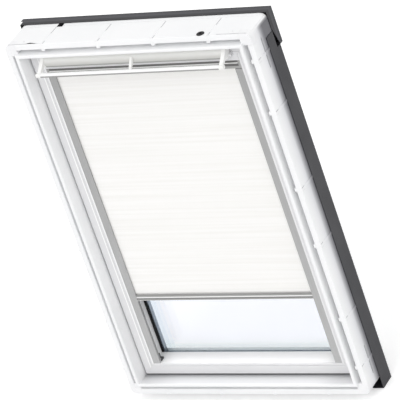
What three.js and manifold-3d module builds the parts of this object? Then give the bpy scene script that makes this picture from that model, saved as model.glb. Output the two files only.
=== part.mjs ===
// Centre-pivot roof window with a roller blind in its sash.
// Millimetres. X runs across the window, Z up the slope, Y from the room to the outside.
// The origin lies on the underside of the frame sill, in the middle of its width and depth.
import * as THREE from 'three';
import { mergeVertices } from 'three/addons/utils/BufferGeometryUtils.js';
import Module from 'manifold-3d';

const wasm = await Module();
wasm.setup();

// Frame
const frameWidth = 780;
const frameHeight = 1178;
const frameDepth = 109;
const frameMember = 40;
const rimWidth = 17;
const grooveWidth = 13;
const grooveDepth = 26;
const beadProud = 10;
const beadRadius = 4;
const rimRadius = 2;
const frameCornerRadius = 20;
const ribWidth = 8;
const ribProud = 1.3;
const headRibDepth = 91;
const nubWidth = 11;
const nubReach = 6;
const nubDepth = 8;
const insertSize = 36;
const insertDepth = 22;
const insertLipDrop = 1.2;
const stepLineLength = 95;
const headStepInset = 10;
const jambStepInset = 40;
const stepLineWidth = 2;
const stepLineDepth = 2;
const headStepDepthPlace = 4;
const jambStepDepthPlace = 47;
const seatLineWidth = 1.5;
const headSeatLine = 93;
const sillSeatLine = 64;
const screwHoleRadius = 2.2;
const screwHoleDepth = 9;
const screwHoleInset = 58;
const screwHoleDepthPlace = 17.5;
const grommetInset = 156;
const grommetDepthPlace = 11.5;
const grommetRadius = 11.4;
const grommetBodyRadius = 8;
const grommetRimProud = 1.6;
const grommetRimEdge = 0.8;
const grommetBoreRadius = 4.5;
const grommetLength = 14;

// Where the cross ribs lie along a member, as shares of half its length.
const headRibShares = [-0.687, -0.233, 0.215, 0.659];
const jambRibShares = [-0.849, -0.572, -0.156, 0.156, 0.572, 0.849];

// Clearances and fits
const fitGap = 0.3;
const runningGap = 0.35;
const sashGap = 5;
const boreOverrun = 2;
const roundSides = 32;
const smallRoundSides = 16;

// Sash
const sashDepth = 82;
const sashMember = 36.5;
const sashBackProud = 9;
const glassSeatDrop = 21;
const glassBite = 12.5;
const glassSillBite = 21.5;
const sashEdgeRadius = 3;
const sashReveal = 1.4;
const sashRevealPlace = 29;
const headLipDrop = 19.5;
const headLipDepth = 14;
const ventSlotWidth = 150;
const ventSlotHeight = 9;
const ventSlotShare = 0.57;
const ventSlotInset = 14;
const filterDepth = 10;
const filterHeight = 15;

// Glazing
const paneThickness = 4;
const paneCavity = 15;
const gasketThickness = 3;
const gasketOverGlass = 6.5;
const gasketSillHeight = 16;
const spacerOverGlass = 8;
const spacerWidth = 9;
const spacerSillRise = 2.7;

// Outside covers
const sheet = 1.5;
const sideCoverFront = 70;
const sideCoverProud = 16;
const sideCoverTopDrop = 57;
const sideCoverBelow = 29;
const sideCoverFoot = 33;
const coverInnerLip = 12;
const coverOverSash = 7;
const coverOverSashAbovePivot = 200;
const hoodLap = 1;
const hoodProud = 31;
const hoodDrop = 108;
const hoodSideDrop = 50;
const hoodReturn = 12;
const hoodLugReach = 8;
const hoodLugDepth = 13;
const sashCoverProud = 5;
const sashCoverWidth = 33;
const apronDrop = 30;
const sillCoverProud = 4;
const sillCoverRise = 36;
const sillCoverBelow = 12;

// Pivot, lock and bolt
const pivotSetback = 39;
const pinRadius = 6;
const pinLength = 17;
const bushRadius = 11;
const plateThickness = 1.6;
const frameHingeHeight = 120;
const frameHingeDepth = 34;
const sashHingeHeight = 84;
const sashHingeDepth = 28;
const latchWidth = 30;
const latchDepth = 9;
const latchHeight = 18;
const latchSink = 0.6;
const latchThrow = 8;
const lockCaseWidth = 70;
const lockCaseDepth = 18;
const lockCaseHeight = 30;
const strikerWidth = 64;
const strikerDepth = 22;
const boltRadius = 4;
const boltLength = 46;
const boltSink = 1;
const boltThrow = 10;
const boltSetback = 38;
const boltDrop = 8;
const boltKnobRadius = 2.4;
const boltKnobInset = 27;
const boltKnobDrop = 1;
const keeperRadius = 7;
const keeperLength = 13;
const sealWidth = 7;
const sealInset = 4;
const sealProudEnds = 1.8;
const sealProudSides = 2.6;
const sealSetback = 16;

// Ventilation flap and control bar
const flapSideGap = 25.5;
const flapShift = -3;
const flapTop = 47;
const flapHeight = 36;
const flapFrontReach = 28;
const flapBackReach = 1.4;
const flapWall = 2.5;
const flapAxisReach = 10;
const flapAxisDrop = 77.5;
const flapRodRadius = 2.2;
const armThickness = 11;
const middleArmThickness = 7;
const armFootHeight = 16;
const barEndProud = 3;
const barReach = 65.5;
const barDepth = 12.5;
const barTop = 80;
const barHeight = 12;
const barRadius = 5;
const flapHingeWidth = 6;
const flapHingeRadius = 5;

// The flap's outer line from its top edge to its bottom edge: shares of its depth, from front to
// back, and of its height, from bottom to top.
const flapLineShares = [
  [1, 1], [0.62, 0.985], [0.32, 0.93], [0.12, 0.8], [0, 0.6], [0, 0.42], [0.06, 0.22], [0.17, 0.05],
  [0.24, 0], [0.86, 0],
];
const armTopShare = 0.72;

// Blind
const railWidth = 22;
const railSetback = 1;
const railDepth = 9.5;
const railWall = 1.5;
const clothSetback = 7.5;
const clothThickness = 0.6;
const slotWidth = 2.6;
const slotDepth = 12;
const clothInSlot = 9.5;
const casingSetback = 3;
const casingDepth = 49;
const casingBottom = 128;
const casingTop = 85;
const casingWall = 1.6;
const casingSlotAhead = 2.6;
const casingSlotBehind = 6.5;
const capThickness = 7;
const rollerCoreRadius = 8;
const rollerWall = 1.4;
const rollerClothRadius = 10.8;
const rollerDrop = 114.7;
const rollerEndPlay = 2;
const plugLength = 14;
const plugFlange = 1.2;
const journalRadius = 3;
const journalLength = 5;
const springRadius = 5.6;
const springLength = 260;
const springBore = 2.5;
const bottomBarTop = 318.4;
const bottomBarHeight = 19;
const bottomBarAhead = 7;
const bottomBarBehind = 4;
const glideLength = 30;
const glideInSlot = 9;
const glideThickness = 1.9;
const glideHeight = 14;
const clipHeight = 26;
const clipWidth = 6;
const clipDepth = 5;
const clipFoot = 11;
const clipFootDepth = 17;
const clipFootHeight = 6;

// The bottom bar's section, a ridge between two coves: shares of its depth, from front to back,
// and of its height, from bottom to top.
const bottomBarShares = [
  [1, 0], [1, 1], [0.6, 1], [0.14, 0.95], [0.1, 0.88], [0.34, 0.8], [0.34, 0.7], [0.06, 0.62],
  [0, 0.57], [0, 0.5], [0.06, 0.46], [0.36, 0.4], [0.36, 0.3], [0.1, 0.2], [0.04, 0.14], [0.04, 0.04],
  [0.1, 0],
];

// Places worked out from the sizes above
const halfWidth = frameWidth / 2;
const halfHeight = frameHeight / 2;
const pivotHeight = halfHeight;
const sashOutset = frameMember + sashGap;
const sashHalfWidth = halfWidth - sashOutset;
const sashBottom = sashOutset;
const sashTop = frameHeight - sashOutset;
const sashHalfHeight = (sashTop - sashBottom) / 2;
const openHalfWidth = sashHalfWidth - sashMember;
const openBottom = sashBottom + sashMember;
const openTop = sashTop - sashMember;
const lipBottom = openTop - headLipDrop;
const sashBack = frameDepth + sashBackProud;
const sashFace = sashBack - sashDepth;
const pivotDepth = sashFace + pivotSetback;
const boltDepthPlace = sashFace + boltSetback;
const sealDepthPlace = sashFace + sealSetback;
const flapFront = sashFace - flapFrontReach;
const flapBack = sashFace - flapBackReach;
const flapAxisDepth = sashFace - flapAxisReach;
const barFront = sashFace - barReach;
const railFront = sashFace + railSetback;
const clothPlane = sashFace + clothSetback;
const casingFront = sashFace + casingSetback;
const casingBack = casingFront + casingDepth;
const casingSlotFront = clothPlane - casingSlotAhead;
const casingSlotBack = clothPlane + casingSlotBehind;
const bottomBarFront = clothPlane - bottomBarAhead;
const bottomBarBack = clothPlane + bottomBarBehind;
const sashGlassSeat = sashBack - glassSeatDrop;
const sashCoverBack = sashBack + sashCoverProud;
const sideCoverBack = frameDepth + sideCoverProud;
const hoodFront = frameDepth - hoodLap;
const hoodBack = frameDepth + hoodProud;
const flapHalf = openHalfWidth - flapSideGap;
const railInner = openHalfWidth - fitGap - railWidth;
const casingLow = frameHeight - casingBottom;
const casingHigh = frameHeight - casingTop;
const rollerDepth = clothPlane + clothThickness / 2 + fitGap + rollerClothRadius;
const rollerHeight = frameHeight - rollerDrop;
const jambInner = halfWidth - frameMember;
const boltHeight = sashTop - boltDrop;
const flapAxisHeight = frameHeight - flapAxisDrop;
const barHigh = frameHeight - barTop;
const barLow = barHigh - barHeight;
const bottomBarLow = bottomBarTop - bottomBarHeight;
const glassHalfWidth = openHalfWidth + glassBite - fitGap;
const glassLow = openBottom - glassSillBite + fitGap;
const glassHigh = openTop + glassBite - fitGap;
const innerPaneFront = sashGlassSeat + fitGap;
const outerPaneFront = innerPaneFront + paneThickness + paneCavity;
const outerPaneBack = outerPaneFront + paneThickness;

// Finishes
const finishes = {
  white: new THREE.MeshStandardMaterial({ color: 0xf6f6f5, roughness: 0.42, metalness: 0 }),
  insert: new THREE.MeshStandardMaterial({ color: 0xe2e2e2, roughness: 0.5, metalness: 0 }),
  cladding: new THREE.MeshStandardMaterial({ color: 0x4c4d50, roughness: 0.5, metalness: 0.4 }),
  aluminium: new THREE.MeshStandardMaterial({ color: 0xa9abad, roughness: 0.4, metalness: 0.8 }),
  whiteMetal: new THREE.MeshStandardMaterial({ color: 0xf2f2f1, roughness: 0.35, metalness: 0.1 }),
  steel: new THREE.MeshStandardMaterial({ color: 0xb8b9bb, roughness: 0.35, metalness: 0.9 }),
  rubber: new THREE.MeshStandardMaterial({ color: 0x1c1d1f, roughness: 0.8, metalness: 0 }),
  darkPlastic: new THREE.MeshStandardMaterial({ color: 0x2a2b2d, roughness: 0.6, metalness: 0 }),
  greyPlastic: new THREE.MeshStandardMaterial({ color: 0x8d8f91, roughness: 0.55, metalness: 0 }),
  glass: new THREE.MeshStandardMaterial({
    color: 0xdfe8ee, roughness: 0.04, metalness: 0, transparent: true, opacity: 0.35,
  }),
  cloth: new THREE.MeshStandardMaterial({ color: 0xf4f3ee, roughness: 0.9, metalness: 0 }),
  foam: new THREE.MeshStandardMaterial({ color: 0x6f7275, roughness: 0.95, metalness: 0 }),
};

// Solids: joining and cutting

function toSolid(geometry) {
  const bare = geometry.index ? geometry.toNonIndexed() : geometry.clone();
  bare.deleteAttribute('normal');
  bare.deleteAttribute('uv');
  const merged = mergeVertices(bare, 1e-4);
  const vertProperties = new Float32Array(merged.attributes.position.array);
  const triVerts = new Uint32Array(merged.index.array);
  return new wasm.Manifold(new wasm.Mesh({ numProp: 3, vertProperties, triVerts }));
}

function toGeometry(solid) {
  const mesh = solid.getMesh();
  const geometry = new THREE.BufferGeometry();
  const points = mesh.vertProperties;
  geometry.setAttribute('position', new THREE.BufferAttribute(new Float32Array(points), 3));
  geometry.setIndex(new THREE.BufferAttribute(new Uint32Array(mesh.triVerts), 1));
  return geometry;
}

function cut(geometry, tools) {
  return toGeometry(tools.reduce((solid, tool) => solid.subtract(toSolid(tool)), toSolid(geometry)));
}

function join(geometry, others) {
  return toGeometry(others.reduce((solid, other) => solid.add(toSolid(other)), toSolid(geometry)));
}

function mirrored(geometry) {
  return toGeometry(toSolid(geometry).mirror([1, 0, 0]));
}

// Basic forms

function block(x0, x1, y0, y1, z0, z1) {
  const geometry = new THREE.BoxGeometry(x1 - x0, y1 - y0, z1 - z0);
  geometry.translate((x0 + x1) / 2, (y0 + y1) / 2, (z0 + z1) / 2);
  return geometry;
}

function rodX(radius, x0, x1, y, z, sides = roundSides) {
  const geometry = new THREE.CylinderGeometry(radius, radius, Math.abs(x1 - x0), sides);
  geometry.rotateZ(-Math.PI / 2);
  geometry.translate((x0 + x1) / 2, y, z);
  return geometry;
}

function rodZ(radius, x, y, z0, z1, sides = smallRoundSides) {
  const geometry = new THREE.CylinderGeometry(radius, radius, Math.abs(z1 - z0), sides);
  geometry.rotateX(Math.PI / 2);
  geometry.translate(x, y, (z0 + z1) / 2);
  return geometry;
}

// An outline from corner points [a, b, radius]; a corner with a radius is rounded.
function outline(points) {
  const shape = new THREE.Shape();
  const count = points.length;
  points.forEach(([a, b, radius], index) => {
    if (!radius) {
      if (index === 0) shape.moveTo(a, b);
      else shape.lineTo(a, b);
      return;
    }
    const [beforeA, beforeB] = points[(index + count - 1) % count];
    const [afterA, afterB] = points[(index + 1) % count];
    const corner = new THREE.Vector2(a, b);
    const start = new THREE.Vector2(beforeA, beforeB).sub(corner).setLength(radius).add(corner);
    const end = new THREE.Vector2(afterA, afterB).sub(corner).setLength(radius).add(corner);
    if (index === 0) shape.moveTo(start.x, start.y);
    else shape.lineTo(start.x, start.y);
    shape.quadraticCurveTo(a, b, end.x, end.y);
  });
  shape.closePath();
  return shape;
}

// A sheet of even thickness that follows a bent line, as an outline.
function bentSheet(points, thickness) {
  const at = (index) => new THREE.Vector2(points[index][0], points[index][1]);
  const normals = points.slice(1).map((unused, index) => {
    const along = at(index + 1).sub(at(index)).normalize();
    return new THREE.Vector2(-along.y, along.x);
  });
  const offset = points.map((unused, index) => {
    const before = normals[Math.max(index - 1, 0)];
    const after = normals[Math.min(index, normals.length - 1)];
    const middle = before.clone().add(after).normalize();
    const reach = thickness / middle.dot(after);
    return at(index).addScaledVector(middle, reach);
  });
  const back = offset.reverse().map((point) => [point.x, point.y]);
  return outline([...points.map(([a, b]) => [a, b]), ...back]);
}

function extruded(shape, length, curveSegments = 4) {
  return new THREE.ExtrudeGeometry(shape, { depth: length, bevelEnabled: false, curveSegments });
}

// Outline in depth and height, run across the window from x0 to x1.
function acrossX(shape, x0, x1, curveSegments = 4) {
  const geometry = extruded(shape, x1 - x0, curveSegments);
  const axes = new THREE.Matrix4().makeBasis(
    new THREE.Vector3(0, 1, 0), new THREE.Vector3(0, 0, 1), new THREE.Vector3(1, 0, 0));
  geometry.applyMatrix4(axes);
  geometry.translate(x0, 0, 0);
  return geometry;
}

// Outline in width and depth, run up the window from z0 to z1.
function upZ(shape, z0, z1, curveSegments = 4) {
  const geometry = extruded(shape, z1 - z0, curveSegments);
  geometry.translate(0, 0, z0);
  return geometry;
}

// Outline in width and height, run from depth y0 to y1.
function throughY(shape, y0, y1, curveSegments = 4) {
  const geometry = extruded(shape, y1 - y0, curveSegments);
  geometry.rotateX(Math.PI / 2);
  geometry.translate(0, y1, 0);
  return geometry;
}

const sides = {
  head: { inward: [0, 0, -1], along: [1, 0, 0] },
  sill: { inward: [0, 0, 1], along: [-1, 0, 0] },
  left: { inward: [1, 0, 0], along: [0, 0, 1] },
  right: { inward: [-1, 0, 0], along: [0, 0, -1] },
};

// One side of a rectangular frame with mitred ends. The section is drawn as distance in from the
// rectangle's edge and depth; halfAcross and halfUp are the rectangle's half sizes.
function mitredSide(side, section, halfAcross, halfUp, endGap = fitGap, curveSegments = 4) {
  const { inward, along } = sides[side];
  const upright = side === 'left' || side === 'right';
  const halfLength = upright ? halfUp : halfAcross;
  const edgeDistance = upright ? halfAcross : halfUp;
  const geometry = extruded(section, 1, curveSegments);
  const position = geometry.attributes.position;
  for (let index = 0; index < position.count; index += 1) {
    const inset = position.getX(index);
    const end = position.getZ(index) > 0.5 ? 1 : -1;
    position.setZ(index, end * (halfLength - inset - endGap / 2));
  }
  const inwardAxis = new THREE.Vector3(...inward);
  geometry.applyMatrix4(new THREE.Matrix4().makeBasis(
    inwardAxis, new THREE.Vector3(0, 1, 0), new THREE.Vector3(...along)));
  const edge = inwardAxis.clone().multiplyScalar(-edgeDistance);
  geometry.translate(edge.x, edge.y, edge.z + halfHeight);
  return geometry;
}

// A flat rectangular ring between two depths: half sizes outside, and the width of its bars.
function rectangleRing(outerHalfWidth, outerHalfHeight, sideBar, endBar, y0, y1) {
  const innerHalfWidth = outerHalfWidth - sideBar;
  const innerHalfHeight = outerHalfHeight - endBar;
  const corners = (a, b) => [
    [-a, halfHeight - b], [a, halfHeight - b], [a, halfHeight + b], [-a, halfHeight + b],
  ];
  const shape = outline(corners(outerHalfWidth, outerHalfHeight));
  shape.holes.push(outline(corners(innerHalfWidth, innerHalfHeight).reverse()));
  return throughY(shape, y0, y1);
}

const model = new THREE.Group();
model.position.y = -frameDepth / 2;

function piece(name, geometry, finish) {
  const mesh = new THREE.Mesh(geometry, finishes[finish].clone());
  mesh.name = name;
  model.add(mesh);
}

// Frame members

function frameSection() {
  const sealLow = sealDepthPlace - sealWidth / 2 - fitGap;
  const sealHigh = sealDepthPlace + sealWidth / 2 + fitGap;
  const sealFloor = frameMember - sealInset - fitGap;
  return outline([
    [0, frameDepth],
    [0, 0, rimRadius],
    [rimWidth, 0, rimRadius / 2],
    [rimWidth, grooveDepth],
    [rimWidth + grooveWidth, grooveDepth],
    [rimWidth + grooveWidth, -beadProud, beadRadius],
    [frameMember, -beadProud, beadRadius],
    [frameMember, sealLow],
    [sealFloor, sealLow],
    [sealFloor, sealHigh],
    [frameMember, sealHigh],
    [frameMember, frameDepth],
  ]);
}

// A block in a member's own terms: distance in from the outer face, depth, and place along.
function memberBlock(side, inset0, inset1, y0, y1, place0, place1) {
  const sign = side === 'right' || side === 'head' ? 1 : -1;
  const edge = side === 'left' || side === 'right' ? halfWidth : halfHeight;
  const a0 = sign * (edge - inset0);
  const a1 = sign * (edge - inset1);
  const low = Math.min(a0, a1);
  const high = Math.max(a0, a1);
  if (side === 'left' || side === 'right') {
    return block(low, high, y0, y1, halfHeight + place0, halfHeight + place1);
  }
  return block(place0, place1, y0, y1, halfHeight + low, halfHeight + high);
}

// The ribs that cross a member's outer face and rim. On the head and the right jamb they end in
// nubs that reach into the groove.
function ribs(side, shares, reach) {
  const front = -ribProud / 2;
  const sunk = rimRadius;
  const half = side === 'left' || side === 'right' ? halfHeight : halfWidth;
  return shares.map((share) => share * half).flatMap((place) => {
    const rib = [place - ribWidth / 2, place + ribWidth / 2];
    const nub = [place - nubWidth / 2, place + nubWidth / 2];
    const nubs = side === 'head' || side === 'right'
      ? [memberBlock(side, rimWidth - sunk, rimWidth + nubReach, ribProud, nubDepth, ...nub)]
      : [];
    return [
      memberBlock(side, -ribProud, sunk, front, reach, ...rib),
      memberBlock(side, -ribProud, rimWidth - sunk, front, sunk, ...rib),
      ...nubs,
    ];
  });
}

// A straight line pressed into the outer face near each end of a member.
function stepLines(side, depthPlace, endInset) {
  const half = side === 'left' || side === 'right' ? halfHeight : halfWidth;
  const far = half - endInset;
  const near = far - stepLineLength;
  const front = depthPlace - stepLineWidth / 2;
  const back = depthPlace + stepLineWidth / 2;
  return [[-far, -near], [near, far]].map(([place0, place1]) => (
    memberBlock(side, -ribProud, stepLineDepth, front, back, place0, place1)));
}

// A fine line along the whole outer face: it parts the flat seat from the part that a cover spans.
function seatLine(side, depthPlace) {
  return memberBlock(side, -ribProud - boreOverrun, stepLineDepth, depthPlace, depthPlace + seatLineWidth,
    -halfWidth, halfWidth);
}

// A point given as distances in from a corner of the frame.
function fromCorner(across, up, [a, b, radius]) {
  return [across * (halfWidth - a), halfHeight + up * (halfHeight - b), radius];
}

// The outline of a corner insert, or of its pocket when it is opened by a gap.
function insertOutline(across, up, gap) {
  const reach = insertSize + gap;
  const notch = rimWidth + grooveWidth - fitGap + gap;
  const outside = gap ? -boreOverrun : 0;
  return outline([
    [outside, outside, gap ? 0 : frameCornerRadius], [reach, outside], [reach, notch],
    [notch, notch], [notch, reach], [outside, reach],
  ].map((point) => fromCorner(across, up, point)));
}

// What is cut away outside the rounded corner of the frame.
function cornerRounding(across, up) {
  const radius = frameCornerRadius;
  const shape = outline([
    [-boreOverrun, -boreOverrun], [radius, -boreOverrun], [radius, 0], [0, 0, radius],
    [0, radius], [-boreOverrun, radius],
  ].map((point) => fromCorner(across, up, point)));
  return throughY(shape, -beadProud - boreOverrun, frameDepth + boreOverrun);
}

const cornerSigns = [[-1, 1], [1, 1], [-1, -1], [1, -1]];

function frameBar(side) {
  const upright = side === 'left' || side === 'right';
  const bar = mitredSide(side, frameSection(), halfWidth, halfHeight);
  const ribbed = {
    head: () => join(bar, ribs(side, headRibShares, headRibDepth)),
    sill: () => join(bar, ribs(side, headRibShares, sillSeatLine - boreOverrun)),
    left: () => join(bar, ribs(side, jambRibShares, sideCoverFront - fitGap)),
    right: () => join(bar, ribs(side, jambRibShares, sideCoverFront - fitGap)),
  }[side]();
  const corners = cornerSigns.flatMap(([across, up]) => [
    throughY(insertOutline(across, up, fitGap), -boreOverrun, insertDepth + fitGap),
    cornerRounding(across, up),
  ]);
  const lines = upright
    ? stepLines(side, jambStepDepthPlace, jambStepInset)
    : stepLines(side, headStepDepthPlace, headStepInset);
  const seatLines = {
    head: [seatLine(side, headSeatLine)],
    sill: [seatLine(side, sillSeatLine)],
  }[side] ?? [];
  return cut(ribbed, [...corners, ...lines, ...seatLines]);
}

const screwHoleAcross = halfWidth - screwHoleInset;
const grommetAcross = halfWidth - grommetInset;

// The head's screw holes, the grommet's bore and the pocket that the latch bolt enters.
function headTools() {
  const holeLow = frameHeight - screwHoleDepth;
  const overTop = frameHeight + boreOverrun;
  const holes = [-screwHoleAcross, screwHoleAcross].map((x) => (
    rodZ(screwHoleRadius, x, screwHoleDepthPlace, holeLow, overTop)));
  const boreLow = frameHeight - grommetLength - fitGap;
  const bore = rodZ(grommetBodyRadius + fitGap, grommetAcross, grommetDepthPlace, boreLow, overTop,
    roundSides);
  const pocketHalf = latchWidth / 2 + boreOverrun;
  const pocketDepth = latchDepth / 2 + boreOverrun;
  const innerFace = frameHeight - frameMember;
  const pocket = block(-pocketHalf, pocketHalf, pivotDepth - pocketDepth, pivotDepth + pocketDepth,
    innerFace - boreOverrun, innerFace + latchThrow);
  return [...holes, bore, pocket];
}

const keeperEnd = -jambInner - keeperLength;

piece('frame_head', cut(frameBar('head'), headTools()), 'white');
piece('frame_sill', frameBar('sill'), 'white');
piece('frame_jamb_left', cut(frameBar('left'), [
  rodX(keeperRadius + fitGap, keeperEnd - fitGap, -jambInner + boreOverrun, boltDepthPlace, boltHeight),
]), 'white');
piece('frame_jamb_right', frameBar('right'), 'white');

// An insert closes the lining groove at a corner; its inner part lies a step below its rim.
function cornerInsert(across, up) {
  const step = outline([
    [rimWidth, rimWidth], [insertSize + boreOverrun, rimWidth],
    [insertSize + boreOverrun, insertSize + boreOverrun], [rimWidth, insertSize + boreOverrun],
  ].map((point) => fromCorner(across, up, point)));
  const body = throughY(insertOutline(across, up, 0), 0, insertDepth);
  return cut(body, [throughY(step, -boreOverrun, insertLipDrop)]);
}

cornerSigns.forEach(([across, up]) => {
  const place = `${up > 0 ? 'top' : 'bottom'}_${across < 0 ? 'left' : 'right'}`;
  piece(`corner_insert_${place}`, cornerInsert(across, up), 'insert');
});

function grommetSolid() {
  const top = grommetRimProud + fitGap;
  const profile = [
    [grommetBoreRadius, -grommetLength],
    [grommetBodyRadius, -grommetLength],
    [grommetBodyRadius, fitGap],
    [grommetRadius, fitGap],
    [grommetRadius, top - grommetRimEdge],
    [grommetRadius - grommetRimEdge, top],
    [grommetBoreRadius, top],
    [grommetBoreRadius, -grommetLength],
  ].map(([radius, height]) => new THREE.Vector2(radius, height));
  const geometry = new THREE.LatheGeometry(profile, roundSides);
  geometry.rotateX(Math.PI / 2);
  geometry.translate(grommetAcross, grommetDepthPlace, frameHeight);
  return geometry;
}

piece('cable_grommet', grommetSolid(), 'rubber');

// The weather seal: one ring that lies in the groove of the frame's inner flanks.
const sealOuter = frameMember - sealInset;
piece('frame_seal', rectangleRing(
  halfWidth - sealOuter, halfHeight - sealOuter, sealInset + sealProudSides, sealInset + sealProudEnds,
  sealDepthPlace - sealWidth / 2, sealDepthPlace + sealWidth / 2), 'rubber');

// Outside covers of the frame

const coverFace = halfWidth + fitGap;
const coverOuter = coverFace + sheet;
const hoodLow = frameHeight - hoodDrop;

// A side cover: a sheet on the outer face that turns over the outside edge, with a foot folded in
// below the sill. Well above the pivot it also laps over the sash's edge; beside the hood only its
// outer leg runs on.
function sideCover() {
  const innerEdge = jambInner + coverInnerLip;
  const section = bentSheet([
    [coverFace, sideCoverFront],
    [coverFace, sideCoverBack],
    [innerEdge, sideCoverBack],
    [innerEdge, frameDepth + fitGap],
  ], -sheet);
  const top = frameHeight - sideCoverTopDrop;
  const back = sideCoverBack + sheet;
  const low = -sideCoverBelow;
  const footInner = coverFace - sideCoverFoot;
  const lap = block(sashHalfWidth - coverOverSash, innerEdge, sideCoverBack, back,
    pivotHeight + coverOverSashAbovePivot, top);
  const foot = block(footInner, coverOuter, sideCoverFront, back, low, low + sheet);
  const footWall = block(footInner, footInner + sheet, sideCoverFront, back, low, -fitGap);
  const besideHood = block(0, coverOuter + boreOverrun, hoodFront - fitGap, back + boreOverrun,
    hoodLow - fitGap, top + boreOverrun);
  return cut(join(upZ(section, low, top), [lap, foot, footWall]), [besideHood]);
}

piece('frame_cover_left', mirrored(sideCover()), 'cladding');
piece('frame_cover_right', sideCover(), 'cladding');

// The hood: a bent sheet across the head, closed at each end. A lug stands out at the outside edge
// of its left end.
function hoodSolid() {
  const top = frameHeight + fitGap;
  const back = hoodBack + sheet;
  const skin = bentSheet([
    [hoodFront, top],
    [hoodBack, top],
    [hoodBack, hoodLow],
    [hoodBack - hoodReturn, hoodLow],
  ], sheet);
  const end = outline([
    [hoodFront, top + sheet], [back, top + sheet], [back, hoodLow], [hoodBack - hoodReturn, hoodLow],
    [hoodFront, frameHeight - hoodSideDrop],
  ]);
  const ends = [
    acrossX(end, -coverOuter, -coverFace),
    acrossX(end, coverFace, coverOuter),
  ];
  const lug = block(-coverOuter - hoodLugReach, -coverFace, back - hoodLugDepth, back, top, top + sheet);
  return join(acrossX(skin, -coverOuter, coverOuter), [...ends, lug]);
}

piece('hood', hoodSolid(), 'cladding');

// The sill cover hooks over the outside of the frame sill and hangs down in front of it.
function sillCoverSolid() {
  const face = frameDepth + sillCoverProud - sheet;
  const section = bentSheet([
    [frameDepth + fitGap, sillCoverRise],
    [face, sillCoverRise],
    [face, -sillCoverBelow],
  ], sheet);
  const half = coverFace - sideCoverFoot - fitGap;
  return acrossX(section, -half, half);
}

piece('frame_cover_sill', sillCoverSolid(), 'cladding');

// Sash members

function sashSection(bite) {
  const rebate = sashMember - bite;
  const seat = sashGlassSeat - gasketThickness;
  const revealStart = sashRevealPlace - sashReveal;
  return outline([
    [0, sashBack],
    [0, sashFace, sashEdgeRadius],
    [revealStart, sashFace],
    [revealStart, sashFace + sashReveal],
    [sashRevealPlace, sashFace + sashReveal],
    [sashRevealPlace, sashFace],
    [sashMember, sashFace, sashReveal],
    [sashMember, seat],
    [rebate, seat],
    [rebate, sashBack],
  ]);
}

function sashBar(side) {
  const bite = side === 'sill' ? glassSillBite : glassBite;
  return mitredSide(side, sashSection(bite), sashHalfWidth, sashHalfHeight);
}

// The bore in a stile for the bush that turns on the frame's pivot pin.
function bushBore(across) {
  const inner = across * (sashHalfWidth - pinLength - fitGap);
  const outer = across * (sashHalfWidth + boreOverrun);
  return rodX(bushRadius + fitGap, inner, outer, pivotDepth, pivotHeight);
}

const boltOuter = -sashHalfWidth + boltSink;
const boltInner = boltOuter + boltLength;
const boltKnobAcross = sashHalfWidth - boltKnobInset;

// The bore of the barrel bolt and the slot along which its knob travels.
function boltTools() {
  const knobHalf = boltKnobRadius + runningGap;
  const slotLeft = -boltKnobAcross - boltThrow - knobHalf;
  const slotRight = -boltKnobAcross + knobHalf;
  return [
    rodX(boltRadius + runningGap, -sashHalfWidth - boreOverrun, boltInner + fitGap, boltDepthPlace,
      boltHeight),
    block(slotLeft, slotRight, boltDepthPlace - knobHalf, boltDepthPlace + knobHalf, boltHeight,
      sashTop + boreOverrun),
  ];
}

// The ventilation slots with their filter's seat, and the seat of the lock case, in the sash head.
function sashHeadTools() {
  const slotHigh = sashTop - ventSlotInset;
  const slotLow = slotHigh - ventSlotHeight;
  const slots = [-ventSlotAcross, ventSlotAcross].map((x) => block(
    x - ventSlotWidth / 2, x + ventSlotWidth / 2, sashFace, sashBack + boreOverrun, slotLow, slotHigh));
  const filterSeat = block(-filterHalf, filterHalf, sashFace - boreOverrun, sashFace + filterDepth,
    filterMiddle - filterHeight / 2, filterMiddle + filterHeight / 2);
  const caseHalf = lockCaseWidth / 2 + fitGap;
  const caseDepth = lockCaseDepth / 2 + fitGap;
  const lockSeat = block(-caseHalf, caseHalf, pivotDepth - caseDepth, pivotDepth + caseDepth,
    sashTop - lockCaseHeight - fitGap, sashTop + boreOverrun);
  return [...slots, filterSeat, lockSeat];
}

const ventSlotAcross = openHalfWidth * ventSlotShare;
const filterHalf = ventSlotAcross + ventSlotWidth / 2 + filterDepth;
const filterMiddle = sashTop - ventSlotInset - ventSlotHeight / 2;

// The lip below the sash head that the blind's casing hides behind.
function headLip() {
  const half = openHalfWidth - fitGap;
  return block(-half, half, sashFace, sashFace + headLipDepth, lipBottom, openTop + sashReveal);
}

piece('sash_head', cut(join(sashBar('head'), [headLip()]), [...sashHeadTools(), ...boltTools()]), 'white');
piece('sash_sill', sashBar('sill'), 'white');
piece('sash_stile_left', cut(sashBar('left'), [bushBore(-1), ...boltTools()]), 'white');
piece('sash_stile_right', cut(sashBar('right'), [bushBore(1)]), 'white');

piece('ventilation_filter', block(
  -filterHalf + fitGap, filterHalf - fitGap, sashFace + fitGap, sashFace + filterDepth - fitGap,
  filterMiddle - filterHeight / 2 + fitGap, filterMiddle + filterHeight / 2 - fitGap), 'foam');

// Glazing: the glass sits deeper in the sash sill than in the other members, so its seal and its
// spacer lie out of sight there.

function pane(front) {
  return block(-glassHalfWidth, glassHalfWidth, front, front + paneThickness, glassLow, glassHigh);
}

// A ring along the edge of the glass: its bars have one width at the sides and head, another at the
// sill.
function glazingRing(ringHalf, low, high, bar, sillBar, y0, y1) {
  const corners = (inset, sillInset) => [
    [-ringHalf + inset, low + sillInset], [ringHalf - inset, low + sillInset],
    [ringHalf - inset, high - inset], [-ringHalf + inset, high - inset],
  ];
  const shape = outline(corners(0, 0));
  shape.holes.push(outline(corners(bar, sillBar).reverse()));
  return throughY(shape, y0, y1);
}

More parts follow.
